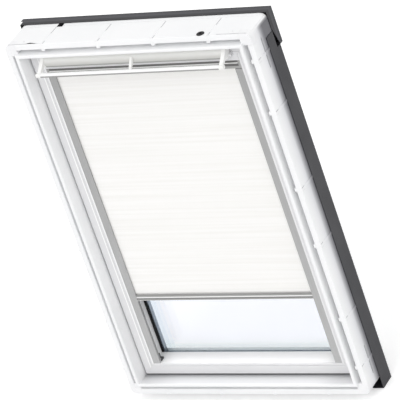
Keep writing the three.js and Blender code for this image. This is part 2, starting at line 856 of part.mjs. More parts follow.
const gasketBar = glassHalfWidth - openHalfWidth + gasketOverGlass;
const spacerInset = spacerOverGlass - spacerWidth;

piece('pane_inner', pane(innerPaneFront), 'glass');
piece('pane_outer', pane(outerPaneFront), 'glass');
piece('glazing_gasket', glazingRing(
  glassHalfWidth, glassLow, glassHigh, gasketBar, gasketSillHeight,
  sashGlassSeat - gasketThickness + fitGap, sashGlassSeat), 'rubber');
piece('glazing_spacer', glazingRing(
  openHalfWidth - spacerInset, glassLow + spacerSillRise, openTop - spacerInset, spacerWidth, spacerWidth,
  innerPaneFront + paneThickness + fitGap, outerPaneFront - fitGap), 'greyPlastic');

// Outside covers of the sash, mitred at the corners; the bottom one carries an apron.

function sashCoverSection() {
  return bentSheet([
    [0, sashBack + fitGap],
    [0, sashCoverBack],
    [sashCoverWidth, sashCoverBack],
    [sashCoverWidth, outerPaneBack + fitGap],
  ], -sheet);
}

function sashCover(side) {
  const bar = mitredSide(side, sashCoverSection(), sashHalfWidth, sashHalfHeight);
  if (side !== 'sill') return bar;
  const front = sashBack + fitGap;
  const half = sashHalfWidth - sheet;
  return join(bar, [
    block(-half, half, front, front + sheet, sashBottom - apronDrop, sashBottom + sheet),
  ]);
}

piece('sash_cover_top', sashCover('head'), 'cladding');
piece('sash_cover_bottom', sashCover('sill'), 'cladding');
piece('sash_cover_left', sashCover('left'), 'cladding');
piece('sash_cover_right', sashCover('right'), 'cladding');

// Pivot hinges

function frameHinge() {
  const outer = jambInner - fitGap;
  const inner = outer - plateThickness;
  const plate = block(inner, outer, pivotDepth - frameHingeDepth / 2, pivotDepth + frameHingeDepth / 2,
    pivotHeight - frameHingeHeight / 2, pivotHeight + frameHingeHeight / 2);
  return join(plate, [
    rodX(pinRadius, outer - pinLength, outer - plateThickness / 2, pivotDepth, pivotHeight),
  ]);
}

function sashHinge() {
  const inner = sashHalfWidth + fitGap;
  const outer = inner + plateThickness;
  const plate = block(inner, outer, pivotDepth - sashHingeDepth / 2, pivotDepth + sashHingeDepth / 2,
    pivotHeight - sashHingeHeight / 2, pivotHeight + sashHingeHeight / 2);
  const bushInner = sashHalfWidth - pinLength;
  const bush = rodX(bushRadius, bushInner, outer - plateThickness / 2, pivotDepth, pivotHeight);
  const bore = rodX(pinRadius + runningGap, sashHalfWidth - pinLength - boreOverrun, outer + boreOverrun,
    pivotDepth, pivotHeight);
  return cut(join(plate, [bush]), [bore]);
}

piece('frame_hinge_left', mirrored(frameHinge()), 'steel');
piece('frame_hinge_right', frameHinge(), 'steel');
piece('sash_hinge_left', mirrored(sashHinge()), 'steel');
piece('sash_hinge_right', sashHinge(), 'steel');

// Lock and barrel bolt

const latchHigh = sashTop - latchSink;
const latchLow = latchHigh - latchHeight;

function lockCase() {
  const half = latchWidth / 2 + runningGap;
  const depth = latchDepth / 2 + runningGap;
  const body = block(-lockCaseWidth / 2, lockCaseWidth / 2,
    pivotDepth - lockCaseDepth / 2, pivotDepth + lockCaseDepth / 2,
    sashTop - lockCaseHeight, sashTop - fitGap);
  return cut(body, [
    block(-half, half, pivotDepth - depth, pivotDepth + depth, latchLow - fitGap, sashTop + boreOverrun),
  ]);
}

function strikerPlate() {
  const high = frameHeight - frameMember - fitGap;
  const low = high - plateThickness;
  const half = latchWidth / 2 + boreOverrun / 2;
  const depth = latchDepth / 2 + boreOverrun / 2;
  const plate = block(-strikerWidth / 2, strikerWidth / 2,
    pivotDepth - strikerDepth / 2, pivotDepth + strikerDepth / 2, low, high);
  return cut(plate, [
    block(-half, half, pivotDepth - depth, pivotDepth + depth, low - boreOverrun, high + boreOverrun),
  ]);
}

piece('lock_case', lockCase(), 'steel');
piece('latch_bolt', block(-latchWidth / 2, latchWidth / 2,
  pivotDepth - latchDepth / 2, pivotDepth + latchDepth / 2, latchLow, latchHigh), 'steel');
piece('striker_plate', strikerPlate(), 'steel');

function barrelBolt() {
  const barrel = rodX(boltRadius, boltOuter, boltInner, boltDepthPlace, boltHeight);
  const knob = rodZ(boltKnobRadius, -boltKnobAcross, boltDepthPlace, boltHeight, sashTop - boltKnobDrop);
  return join(barrel, [knob]);
}

piece('barrel_bolt', barrelBolt(), 'steel');
piece('bolt_keeper', cut(
  rodX(keeperRadius, keeperEnd, -jambInner, boltDepthPlace, boltHeight),
  [rodX(boltRadius + runningGap * 2, keeperEnd - boreOverrun, -jambInner + boreOverrun, boltDepthPlace,
    boltHeight)]), 'darkPlastic');

// Ventilation flap and control bar

const flapLow = frameHeight - flapTop - flapHeight;

function flapLine() {
  return flapLineShares.map(([depthShare, heightShare]) => [
    flapFront + depthShare * (flapBack - flapFront),
    flapLow + heightShare * flapHeight,
  ]);
}

const barBack = barFront + barDepth;

function barSection() {
  return outline([
    [barFront, barLow, barRadius], [barBack, barLow, barRadius],
    [barBack, barHigh, barRadius], [barFront, barHigh, barRadius],
  ]);
}

// The web of an arm between the control bar and the flap, from one depth to another.
function armWeb(front, back) {
  return outline([
    [front, barLow + barRadius / 2],
    [front, barHigh - barRadius / 2],
    [back, flapLow + armTopShare * flapHeight],
    [back, flapLow + armTopShare * flapHeight - armFootHeight],
  ]);
}

const armInner = flapHalf + fitGap;
const armOuter = armInner + armThickness;

// The flap, its bar, arms, rod and bearings lie together a little to the left of the middle.
function shifted(geometry) {
  return toGeometry(toSolid(geometry).translate([flapShift, 0, 0]));
}

function endArm() {
  const side = acrossX(outline(flapLine()), armInner, armOuter);
  const grip = acrossX(barSection(), armInner, armOuter + barEndProud);
  const web = acrossX(armWeb(barFront + barRadius, flapFront + flapWall), armInner, armOuter);
  const bore = rodX(flapRodRadius + fitGap, armInner - boreOverrun, armOuter + boreOverrun, flapAxisDepth,
    flapAxisHeight, smallRoundSides);
  return cut(join(side, [grip, web]), [bore]);
}

// A bearing block on the sash head for one end of the flap's rod.
function flapHinge() {
  const inner = armOuter + runningGap;
  const outer = inner + flapHingeWidth;
  const body = join(
    rodX(flapHingeRadius, inner, outer, flapAxisDepth, flapAxisHeight),
    [block(inner, outer, flapAxisDepth, sashFace - fitGap,
      flapAxisHeight - flapHingeRadius, flapAxisHeight + flapHingeRadius)]);
  return cut(body, [rodX(flapRodRadius + runningGap, inner - boreOverrun, outer + boreOverrun,
    flapAxisDepth, flapAxisHeight, smallRoundSides)]);
}

const rodHalf = armOuter + runningGap + flapHingeWidth - flapWall / 2;

function middleArm() {
  const half = middleArmThickness / 2;
  return acrossX(armWeb(barBack + fitGap, flapFront - fitGap), -half, half);
}

function flapRod() {
  return rodX(flapRodRadius, -rodHalf, rodHalf, flapAxisDepth, flapAxisHeight, smallRoundSides);
}

piece('vent_flap', shifted(acrossX(bentSheet(flapLine(), flapWall), -flapHalf, flapHalf)), 'greyPlastic');
piece('control_bar', shifted(acrossX(barSection(), -flapHalf, flapHalf)), 'aluminium');
piece('control_bar_arm_left', shifted(mirrored(endArm())), 'greyPlastic');
piece('control_bar_arm_right', shifted(endArm()), 'greyPlastic');
piece('control_bar_arm_middle', shifted(middleArm()), 'greyPlastic');
piece('flap_rod', shifted(flapRod()), 'steel');
piece('flap_hinge_left', shifted(mirrored(flapHinge())), 'white');
piece('flap_hinge_right', shifted(flapHinge()), 'white');

// Blind: side rails and casing

const railBack = railFront + railDepth;
const railOuter = railInner + railWidth;
const railLow = openBottom + fitGap;
const railHigh = casingLow - fitGap;

// A rail's section: a slot for the cloth's edge, and a hollow chamber beside it.
function sideRail() {
  const slotFront = clothPlane - slotWidth / 2;
  const slotBack = clothPlane + slotWidth / 2;
  const section = outline([
    [railInner, railFront], [railOuter, railFront], [railOuter, railBack], [railInner, railBack],
    [railInner, slotBack], [railInner + slotDepth, slotBack], [railInner + slotDepth, slotFront],
    [railInner, slotFront],
  ]);
  section.holes.push(outline([
    [railInner + slotDepth + railWall, railFront + railWall],
    [railOuter - railWall, railFront + railWall],
    [railOuter - railWall, railBack - railWall],
    [railInner + slotDepth + railWall, railBack - railWall],
  ]));
  return upZ(section, railLow, railHigh);
}

// The clip behind a rail's lower end: a stem against the rail, and a longer foot on the sash sill.
function railClip() {
  const front = railBack + fitGap;
  const stem = block(railInner, railInner + clipWidth, front, front + clipDepth, railLow,
    railLow + clipHeight);
  return join(stem, [
    block(railInner, railInner + clipFoot, front, front + clipFootDepth, railLow, railLow + clipFootHeight),
  ]);
}

piece('side_rail_left', mirrored(sideRail()), 'aluminium');
piece('side_rail_right', sideRail(), 'aluminium');
piece('rail_clip_left', mirrored(railClip()), 'darkPlastic');
piece('rail_clip_right', railClip(), 'darkPlastic');

const capInner = openHalfWidth - fitGap - capThickness;
const casingStepHigh = lipBottom - fitGap;
const casingStepBack = sashFace + headLipDepth + fitGap;

// The casing's line, from the front of its cloth slot round to the back of it.
const casingLine = [
  [casingFront, casingLow], [casingFront, casingStepHigh], [casingStepBack, casingStepHigh],
  [casingStepBack, casingHigh], [casingBack, casingHigh], [casingBack, casingLow],
];

function blindCasing() {
  const half = capInner - fitGap;
  const line = [[casingSlotFront, casingLow], ...casingLine, [casingSlotBack, casingLow]];
  return acrossX(bentSheet(line, -casingWall), -half, half);
}

function casingCap() {
  const body = acrossX(outline(casingLine), capInner, capInner + capThickness);
  return cut(body, [rodX(journalRadius + runningGap, capInner - boreOverrun,
    capInner + capThickness + boreOverrun, rollerDepth, rollerHeight, smallRoundSides)]);
}

piece('blind_casing', blindCasing(), 'aluminium');
piece('casing_cap_left', mirrored(casingCap()), 'aluminium');
piece('casing_cap_right', casingCap(), 'aluminium');

// Blind: roller

const plugOuter = capInner - rollerEndPlay;
const rollerHalf = plugOuter - plugFlange - fitGap;
const clothHalf = railInner + clothInSlot;
const tubeBore = rollerCoreRadius - rollerWall;

function rollerRod(radius, x0, x1) {
  return rodX(radius, x0, x1, rollerDepth, rollerHeight);
}

function rollerPlug() {
  const flangeInner = rollerHalf + fitGap;
  return join(rollerRod(rollerCoreRadius, flangeInner, plugOuter), [
    rollerRod(tubeBore - fitGap, rollerHalf - plugLength, flangeInner + plugFlange / 2),
    rollerRod(journalRadius, flangeInner + plugFlange / 2, capInner + journalLength),
  ]);
}

const springLeft = -rollerHalf + plugLength + fitGap;

piece('roller_tube', cut(rollerRod(rollerCoreRadius, -rollerHalf, rollerHalf), [
  rollerRod(tubeBore, -rollerHalf - boreOverrun, rollerHalf + boreOverrun),
]), 'aluminium');
piece('cloth_roll', cut(rollerRod(rollerClothRadius, -clothHalf, clothHalf), [
  rollerRod(rollerCoreRadius + fitGap, -clothHalf - boreOverrun, clothHalf + boreOverrun),
]), 'cloth');
piece('roller_plug_left', mirrored(rollerPlug()), 'darkPlastic');
piece('roller_plug_right', rollerPlug(), 'darkPlastic');
piece('spring_cartridge', cut(rollerRod(springRadius, springLeft, springLeft + springLength), [
  rollerRod(springBore, springLeft - boreOverrun, springLeft + springLength + boreOverrun),
]), 'steel');

// Blind: cloth and bottom bar

piece('blind_cloth', block(-clothHalf, clothHalf, clothPlane - clothThickness / 2,
  clothPlane + clothThickness / 2, bottomBarTop + fitGap, rollerHeight), 'cloth');

const glideOuter = railInner + glideInSlot;
const glideInner = glideOuter - glideLength;
const bottomBarMiddle = bottomBarTop - bottomBarHeight / 2;

function glide(gap) {
  return block(glideInner - gap, glideOuter + gap,
    clothPlane - glideThickness / 2 - gap, clothPlane + glideThickness / 2 + gap,
    bottomBarMiddle - glideHeight / 2 - gap, bottomBarMiddle + glideHeight / 2 + gap);
}

function bottomBar() {
  const section = outline(bottomBarShares.map(([depthShare, heightShare]) => [
    bottomBarFront + depthShare * (bottomBarBack - bottomBarFront),
    bottomBarLow + heightShare * bottomBarHeight,
  ]));
  const half = railInner - runningGap;
  return cut(acrossX(section, -half, half), [glide(fitGap), mirrored(glide(fitGap))]);
}

piece('bottom_bar', bottomBar(), 'aluminium');
piece('bar_glide_left', mirrored(glide(0)), 'darkPlastic');
piece('bar_glide_right', glide(0), 'darkPlastic');

export default model;
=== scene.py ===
# %% [markdown]
# # A white roof window with a roller blind
#
# The object is a centre-pivot roof window: a fixed frame, a sash that turns on two hinges half way
# up its sides, double glazing, dark grey metal covers on the weather side, and a ventilation flap
# with a control bar along the top. A roller blind hangs in the sash, three quarters of the way down.
#
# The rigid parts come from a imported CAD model. This lesson gives them their finishes, adds the cloth
# and the small fittings, and sets up the camera and the light.

# %% Load the rigid parts
import math

import bmesh
import bpy
from mathutils import Matrix, Vector


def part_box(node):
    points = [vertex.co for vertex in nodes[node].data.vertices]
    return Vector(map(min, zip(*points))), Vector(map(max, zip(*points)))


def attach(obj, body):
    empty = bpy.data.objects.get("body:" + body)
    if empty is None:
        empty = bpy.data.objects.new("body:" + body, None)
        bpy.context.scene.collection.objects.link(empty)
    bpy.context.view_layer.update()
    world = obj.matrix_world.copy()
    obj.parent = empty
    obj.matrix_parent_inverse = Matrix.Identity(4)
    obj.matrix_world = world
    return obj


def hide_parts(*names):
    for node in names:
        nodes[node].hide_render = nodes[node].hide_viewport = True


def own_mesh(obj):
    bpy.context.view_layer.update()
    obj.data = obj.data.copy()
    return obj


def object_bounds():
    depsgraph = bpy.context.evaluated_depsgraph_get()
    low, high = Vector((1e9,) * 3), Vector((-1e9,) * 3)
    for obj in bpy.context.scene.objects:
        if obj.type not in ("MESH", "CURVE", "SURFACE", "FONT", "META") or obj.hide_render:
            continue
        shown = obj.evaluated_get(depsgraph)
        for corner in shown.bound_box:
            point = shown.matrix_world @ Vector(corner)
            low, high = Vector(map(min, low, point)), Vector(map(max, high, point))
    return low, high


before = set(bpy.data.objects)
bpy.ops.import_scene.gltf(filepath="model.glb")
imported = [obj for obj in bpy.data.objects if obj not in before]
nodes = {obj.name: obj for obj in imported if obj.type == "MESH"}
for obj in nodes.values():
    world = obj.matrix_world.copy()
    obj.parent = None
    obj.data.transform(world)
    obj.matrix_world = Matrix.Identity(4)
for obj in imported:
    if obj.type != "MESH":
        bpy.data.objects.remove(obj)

scene = bpy.context.scene
cad_box = [list(corner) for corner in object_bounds()]
MM = 0.001
print("rigid parts:", len(nodes), "box:", [[round(v, 4) for v in corner] for corner in cad_box])

# %% [markdown]
# ## Camera
#
# The photograph was taken from far away with a very long lens, so parallel edges stay almost
# parallel in it, and the window leans because the camera was rolled. A camera is placed by its three
# axes: to the right and up in the picture, and straight ahead. A matrix made of these axes gives the
# lean at once, where a "track to" constraint would keep the picture level.

# %% Camera
SENSOR_WIDTH = 36.0
LENS = 358.83
FARTHEST_SEEN = 100.0
EYE = Vector((5.6297, -8.0470, 5.7520))
PICTURE_RIGHT = Vector((0.8619, 0.4129, -0.2944)).normalized()
PICTURE_UP = Vector((0.0227, 0.5485, 0.8358)).normalized()

camera_data = bpy.data.cameras.new("camera")
camera_data.sensor_fit = "HORIZONTAL"
camera_data.sensor_width = SENSOR_WIDTH
camera_data.lens = LENS
camera_data.clip_end = FARTHEST_SEEN
camera = bpy.data.objects.new("camera", camera_data)
scene.collection.objects.link(camera)
backwards = PICTURE_RIGHT.cross(PICTURE_UP).normalized()
upwards = backwards.cross(PICTURE_RIGHT)
turn = Matrix((PICTURE_RIGHT, upwards, backwards)).transposed().to_4x4()
camera.matrix_world = Matrix.Translation(EYE) @ turn
scene.camera = camera
print("camera looks along", [round(-v, 3) for v in backwards])

# %% [markdown]
# ## Tools for finishes
#
# Every finish here is one Principled shader, fed by patterns that the computer works out: noise,
# waves and cells, all read from Object coordinates, so that they stay fixed to the piece in metres.
# Small helpers keep each recipe to a few lines. The first ones name colours, add nodes and start a
# material. The next ones make patterns: soft noise, and stripes by place. The last ones turn
# patterns into colour, roughness and relief.

# %% Colours and nodes
def tone(red, green, blue):
    """A colour as it looks on a screen, 0 to 255, as the linear numbers that a shader wants."""
    return tuple(((v / 255 + 0.055) / 1.055) ** 2.4 for v in (red, green, blue)) + (1.0,)


def grey(level, blue=0):
    """A grey on the same scale, with a step or two more or less of blue."""
    return tone(level, level, level + blue)


def add_node(tree, kind, inputs=None, **settings):
    """One more node in the tree, with its settings and with values or links for its sockets."""
    node = tree.nodes.new("ShaderNode" + kind)
    for name, value in settings.items():
        setattr(node, name, value)
    for socket, value in (inputs or {}).items():
        if isinstance(value, bpy.types.NodeSocket):
            tree.links.new(value, node.inputs[socket])
        else:
            node.inputs[socket].default_value = value
    return node


def new_finish(title, **shader_values):
    """A material with one Principled shader. Values that are even all over are set on it directly."""
    material = bpy.data.materials.new(title)
    material.use_nodes = True
    tree = material.node_tree
    tree.nodes.clear()
    shader = add_node(tree, "BsdfPrincipled")
    for name, value in shader_values.items():
        shader.inputs[name.replace("_", " ")].default_value = value
    output = add_node(tree, "OutputMaterial")
    tree.links.new(shader.outputs["BSDF"], output.inputs["Surface"])
    return material, tree, shader


def feed(tree, shader, **patterns):
    """Links patterns to the shader's sockets."""
    for name, socket in patterns.items():
        tree.links.new(socket, shader.inputs[name.replace("_", " ")])


print("a middle grey is", round(grey(128)[0], 3), "to a shader")

# %% Patterns
def place_on_piece(tree, stretch=(1, 1, 1)):
    """Object coordinates, drawn out or squeezed along the three axes."""
    coordinates = add_node(tree, "TexCoord")
    mapping = add_node(tree, "Mapping", {"Vector": coordinates.outputs["Object"], "Scale": stretch})
    return mapping.outputs["Vector"]


def grain(tree, scale, stretch=(1, 1, 1), detail=3.0, roughness=0.5):
    """Soft noise from 0 to 1."""
    place = place_on_piece(tree, stretch)
    inputs = {"Vector": place, "Scale": scale, "Detail": detail, "Roughness": roughness}
    return add_node(tree, "TexNoise", inputs).outputs["Fac"]


def between(tree, pattern, low, high, start=0.3, stop=0.7):
    """Turns a pattern into a number from low to high."""
    node = add_node(
        tree, "MapRange",
        {"Value": pattern, "From Min": start, "From Max": stop, "To Min": low, "To Max": high},
    )
    return node.outputs["Result"]


def shades(tree, pattern, *colours, start=0.3, stop=0.7):
    """Turns a pattern into a run of colours."""
    ramp = add_node(tree, "ValToRGB", {"Fac": pattern})
    places = [start + (stop - start) * i / (len(colours) - 1) for i in range(len(colours))]
    ramp.color_ramp.elements[0].position = places[0]
    ramp.color_ramp.elements[1].position = places[-1]
    for place in places[1:-1]:
        ramp.color_ramp.elements.new(place)
    for element, colour in zip(ramp.color_ramp.elements, colours):
        element.color = colour
    return ramp.outputs["Color"]


def relief(tree, pattern, depth, strength=1.0, under=None):
    """A normal that follows the pattern as if it were depth metres high."""
    inputs = {"Height": pattern, "Distance": depth, "Strength": strength}
    if under is not None:
        inputs["Normal"] = under
    return add_node(tree, "Bump", inputs).outputs["Normal"]


def along(tree, axis):
    """How far along one axis of the piece a point lies, in metres."""
    coordinates = add_node(tree, "TexCoord").outputs["Object"]
    return add_node(tree, "SeparateXYZ", {"Vector": coordinates}).outputs[axis]


def stripes(tree, axis, *stops):
    """Colours by place along an axis: each stop is a place in millimetres and a colour."""
    first, last = stops[0][0], stops[-1][0]
    place = between(tree, along(tree, axis), 0.0, 1.0, start=first * MM, stop=last * MM)
    ramp = add_node(tree, "ValToRGB", {"Fac": place})
    points = ramp.color_ramp.elements
    while len(points) < len(stops):
        points.new(0.5)
    for point, (where, _) in zip(points, stops):
        point.position = (where - first) / (last - first)
    for point, (_, colour) in zip(points, stops):
        point.color = colour
    return ramp.outputs["Color"]


def over(tree, under, upper, amount=1.0):
    """Multiplies two colours. The numbers are the colour sockets of the Mix node."""
    mix = add_node(tree, "Mix", {0: amount, 6: under, 7: upper}, data_type="RGBA", blend_type="MULTIPLY")
    return mix.outputs[2]


finishes = {}
own_finishes = {}
print("helpers ready")

# %% [markdown]
# ## White paint of frame and sash
#
# The frame and the sash are timber under a thick white coat. Sprayed paint is never quite flat: it
# has a fine "orange peel" about a millimetre and a half across, and it is a little duller where more
# dust fell. A real photograph shows only a hint of either, so colour moves by two or three steps in
# 255, and most of the character comes from uneven gloss.

# %% White paint
FRAME_COAT = {"light": grey(249, 1), "dark": tone(245, 246, 247), "gloss": 0.42, "peel": 0.00006}
SASH_COAT = {"light": grey(254), "dark": grey(250, 1), "gloss": 0.36, "peel": 0.00005}


def white_paint(title, coat, bands=(), lines=(), side=None):
    """Thick white paint. Bands are stops in depth, Y in millimetres, that make it greyer.

    The bands are painted shade. Lines are stops across, along X: how much of the bands shows there, 0
    for a white line, a painted highlight.
    A side is an axis and two distances from the middle, between which the bands set in.
    """
    material, tree, shader = new_finish(title, IOR=1.48, Coat_Weight=0.15, Coat_Roughness=0.12)
    cloudy = grain(tree, 7.0, detail=4.0)
    fine = grain(tree, 650.0, detail=2.0)
    amount = 1.0
    if lines:
        amount = stripes(tree, "X", *[(place, (part, part, part, 1.0)) for place, part in lines])
    if side:
        axis, start, full = side
        distance = add_node(tree, "Math", {0: along(tree, axis)}, operation="ABSOLUTE").outputs["Value"]
        amount = between(tree, distance, 0.0, 1.0, start=start * MM, stop=full * MM)
    colour = shades(tree, cloudy, coat["dark"], coat["light"])
    # Bands darken the paint with painted shade; where lines leave them out, the white reads as a painted
    # highlight.
    if bands:
        colour = over(tree, colour, stripes(tree, "Y", *bands), amount)
    feed(
        tree, shader,
        Base_Color=colour,
        Roughness=between(tree, cloudy, coat["gloss"] + 0.06, coat["gloss"] - 0.04),
        Normal=relief(tree, fine, coat["peel"], 0.5),
    )
    return material


finishes["white_frame"] = white_paint("frame_paint", FRAME_COAT)
# Painted shade: the sash's paint is greyer on its front faces, from Y -13 mm forwards, than on its
# deeper faces.
finishes["white_sash"] = white_paint(
    "sash_paint_shaded_front", SASH_COAT, bands=((-18, grey(237, 1)), (-13, grey(255))),
)
print("white paints:", len(finishes))

# %% [markdown]
# Some pieces have a finish of their own, with painted light and shade. The outer side of a jamb has
# painted shade that turns it grey towards the metal cover beside it, and the frame's sill has painted
# shade that turns it grey towards the gap under the sash, where little light gets in. The front faces
# of the sash sill and the left stile have painted shade too, and the left stile has two painted
# highlights: bright lines along the edges of its moulding.

# %% Paint for single pieces
# Painted shade: the outer side of each jamb turns grey towards the metal cover.
jamb_painted_shade = white_paint(
    "jamb_painted_shade", FRAME_COAT, side=("X", 386.5, 389.5),
    bands=(
        (-45, grey(255)), (-30, grey(248, 1)), (-21, grey(242, 2)), (-12, grey(229, 3)),
        (-3, grey(184, 4)), (6, grey(136, 5)), (15, grey(98, 5)),
    ),
)
own_finishes["frame_jamb_left"] = jamb_painted_shade
own_finishes["frame_jamb_right"] = jamb_painted_shade
# Painted shade: the top of the frame's sill turns grey towards the gap under the sash.
own_finishes["frame_sill"] = white_paint(
    "sill_paint", FRAME_COAT, side=("Z", 38.5, 39.6),
    bands=(
        (-60, grey(250)), (-54, grey(235, 1)), (-45, grey(229, 1)), (-39, grey(218, 1)),
        (-34, grey(211, 1)), (-29, grey(198, 1)), (-23, grey(172, 2)),
    ),
)
# Painted shade: the front face of the sash's sill is greyer than its deeper faces.
own_finishes["sash_sill"] = white_paint(
    "sash_sill_painted_shade", SASH_COAT, bands=((-18.4, grey(230, 1)), (-12, grey(255))),
)
# Painted shade on the left stile's front face, with two lines left white as painted highlights along its
# moulding.
own_finishes["sash_stile_left"] = white_paint(
    "sash_stile_painted_light", SASH_COAT, bands=((-18, grey(231, 1)), (-13, grey(255))),
    lines=((-323.9, 1), (-323.6, 0), (-320.9, 0), (-320.6, 1), (-311.6, 1), (-311.3, 0), (-305, 0)),
)
print("paints for single pieces:", len(own_finishes))

# %% [markdown]
# ## Moulded plastics, rubber and foam
#
# Moulded parts take their texture from the mould: a fine spark-eroded grain. Rubber seals are near
# black and dull. The ventilation filter is open foam, and its cells are what makes it read as foam,
# so they come from a cell pattern.

# %% Plastics
def moulded_plastic(title, light, dark, gloss, grain_depth, bands=(), shine=0.5):
    """Plastic with a moulded grain. Bands are stops in height of painted shade on the piece."""
    material, tree, shader = new_finish(title, IOR=1.5, Specular_IOR_Level=shine)
    cloudy = grain(tree, 12.0, detail=3.0)
    spark = grain(tree, 1400.0, detail=2.0, roughness=0.6)
    colour = shades(tree, cloudy, dark, light)
    if bands:
        colour = over(tree, colour, stripes(tree, "Z", *bands))
    feed(
        tree, shader,
        Base_Color=colour,
        Roughness=between(tree, spark, gloss - 0.05, gloss + 0.07),
        Normal=relief(tree, spark, grain_depth, 0.6),
    )
    return material


finishes["corner_plastic"] = moulded_plastic("corner_plastic", grey(247, 1), grey(243, 2), 0.42, 0.00004)
finishes["flap_plastic"] = moulded_plastic("flap_plastic", grey(249, -2), grey(245, -2), 0.36, 0.00003)
finishes["dark_plastic"] = moulded_plastic(
    "dark_plastic", tone(52, 53, 55), tone(44, 45, 47), 0.45, 0.00005,
)
finishes["blind_casing"] = moulded_plastic("casing_lacquer", grey(176, -1), grey(170, -1), 0.38, 0.00003)
# Painted shade: the flap's face turns darker towards its lower edge.
own_finishes["vent_flap"] = moulded_plastic(
    "flap_painted_shade", grey(246, -2), grey(242, -2), 0.36, 0.00003,
    bands=(
        (1095, grey(128, -2)), (1099, grey(168, -2)), (1102, grey(214, -2)),
        (1118, grey(244, -1)), (1131, grey(250, -1)),
    ),
)
# Painted shade: the control bar is grey along its lower front and white above.
finishes["control_bar"] = moulded_plastic(
    "bar_painted_shade", grey(252), grey(249), 0.25, 0.00002,
    bands=((1086, grey(140, -1)), (1091.6, grey(158, -1)), (1092.4, grey(254)), (1098, grey(255))),
)
print("plastics:", len(finishes), "and", len(own_finishes), "for single pieces")

# %% Rubber and foam
def seal_rubber():
    material, tree, shader = new_finish("seal_rubber", IOR=1.5, Specular_IOR_Level=0.35)
    dusty = grain(tree, 40.0, detail=5.0)
    fine = grain(tree, 900.0, detail=2.0)
    feed(
        tree, shader,
        Base_Color=shades(tree, dusty, tone(30, 30, 32), tone(44, 44, 46)),
        Roughness=between(tree, dusty, 0.62, 0.74),
        Normal=relief(tree, fine, 0.00008, 0.6),
    )
    return material


def filter_foam():
    material, tree, shader = new_finish("filter_foam", Specular_IOR_Level=0.2, Roughness=0.95)
    cells = add_node(tree, "TexVoronoi", {"Vector": place_on_piece(tree), "Scale": 700.0})
    pores = cells.outputs["Distance"]
    feed(
        tree, shader,
        Base_Color=shades(tree, pores, tone(58, 60, 62), tone(112, 114, 116), start=0.1, stop=0.6),
        Normal=relief(tree, pores, 0.0008, 1.0),
    )
    return material


finishes["seal_rubber"] = seal_rubber()
finishes["filter_foam"] = filter_foam()
print("rubber and foam added:", len(finishes))

# %% [markdown]
# ## Metals
#
# The outside covers are coil-coated aluminium: a dark grey paint with a fine texture and a soft
# sheen. Hinges and locks are zinc-plated steel, and the blind's rails and bottom bar are anodised
# aluminium. Drawn and rolled metal has marks that run along the bar, so the same noise is stretched
# a hundredfold along one axis. Fully metallic paint would be wrong for the covers: their colour
# comes from pigment, so they are an ordinary surface with a thin clear coat.

# %% Coated covers
def coated_aluminium(title, beads=()):
    """Dark coated sheet. Beads are stops in depth: painted light and shade of lengthwise beads pressed
    into the hood.
    """
    material, tree, shader = new_finish(
        title, IOR=1.5, Specular_IOR_Level=0.3, Coat_Weight=0.05, Coat_Roughness=0.4,
    )
    cloudy = grain(tree, 9.0, detail=4.0)
    fleck = grain(tree, 2600.0, detail=1.0)
    if beads:
        colour = over(tree, shades(tree, fleck, grey(70, 4), grey(82, 4)), stripes(tree, "Y", *beads))
    else:
        colour = shades(tree, fleck, grey(43, 4), grey(52, 4), grey(58, 4))
    feed(
        tree, shader,
        Base_Color=colour,
        Roughness=between(tree, cloudy, 0.44, 0.56),
        Normal=relief(tree, fleck, 0.00004, 0.5),
    )
    return material


finishes["grey_cladding"] = coated_aluminium("coated_aluminium")
# Painted light and shade: bands along the hood's depth show its beads lit on one slope and shaded on the
# other.
own_finishes["hood"] = coated_aluminium("hood_painted_beads", beads=(
    (53.5, grey(150, 2)), (60, grey(160, 3)), (66, grey(168, 3)), (69, grey(240, 4)),
    (76, grey(222, 4)), (80, grey(196, 4)), (84, grey(186, 4)), (87, grey(150, 3)),
))
print("covers coated")

# %% Drawn and plated metal
ALONG_X = (0.01, 1.0, 1.0)
ALONG_Z = (1.0, 1.0, 0.01)


def drawn_metal(title, light, dark, stretch, gloss, metallic=1.0, bands=()):
    """Metal with marks drawn out along one axis. Bands are stops in height."""
    material, tree, shader = new_finish(title, Metallic=metallic, IOR=1.5)
    marks = grain(tree, 1800.0, stretch, detail=3.0, roughness=0.6)
    cloudy = grain(tree, 15.0, detail=3.0)
    colour = shades(tree, marks, dark, light)
    if bands:
        colour = over(tree, colour, stripes(tree, "Z", *bands))
    feed(
        tree, shader,
        Base_Color=colour,
        Roughness=between(tree, cloudy, gloss - 0.04, gloss + 0.08),
        Normal=relief(tree, marks, 0.00002, 0.5),
    )
    return material


finishes["blind_rail"] = drawn_metal(
    "rail_anodised", grey(199, 1), grey(185, 1), ALONG_Z, 0.42, 0.4,
    bands=((80, grey(243, -1)), (500, grey(232, -1)), (1050, grey(222, -1))),
)
# Painted light and shade: the bottom bar is dark in the hollows of its profile, with a painted highlight
# along its ridge.
finishes["bottom_bar"] = drawn_metal(
    "bar_painted_light_and_shade", grey(244), grey(236), ALONG_X, 0.34, 0.25,
    bands=(
        (299.4, grey(212, -1)), (301.6, grey(205, -1)), (302.2, grey(158, -1)),
        (307.8, grey(166, -1)), (308.4, grey(255)), (311.4, grey(252)),
        (312.0, grey(190, -1)), (314.8, grey(180, -1)), (315.4, grey(150, -1)),
        (318.0, grey(160, -1)), (318.3, grey(226)), (318.4, grey(226)),
    ),
)
finishes["steel"] = drawn_metal("plated_steel", grey(196, -4), grey(176, -2), ALONG_X, 0.34)
finishes["spacer"] = drawn_metal(
    "spacer_aluminium", tone(176, 182, 190), tone(160, 166, 176), ALONG_X, 0.4,
)
print("metals added:", len(finishes))

# %% [markdown]
# ## Glass
#
# A pane is clear, with a breath of blue from the coating that keeps the heat in, and a little more
# colour along its lower and left edge, where the two panes are seen one over the other. Glass in a
# path tracer blocks the lamps unless it bends every ray of light, which takes a very long time. The
# usual answer is to let rays on their way to a lamp straight through, and to keep the real glass for
# all other rays.

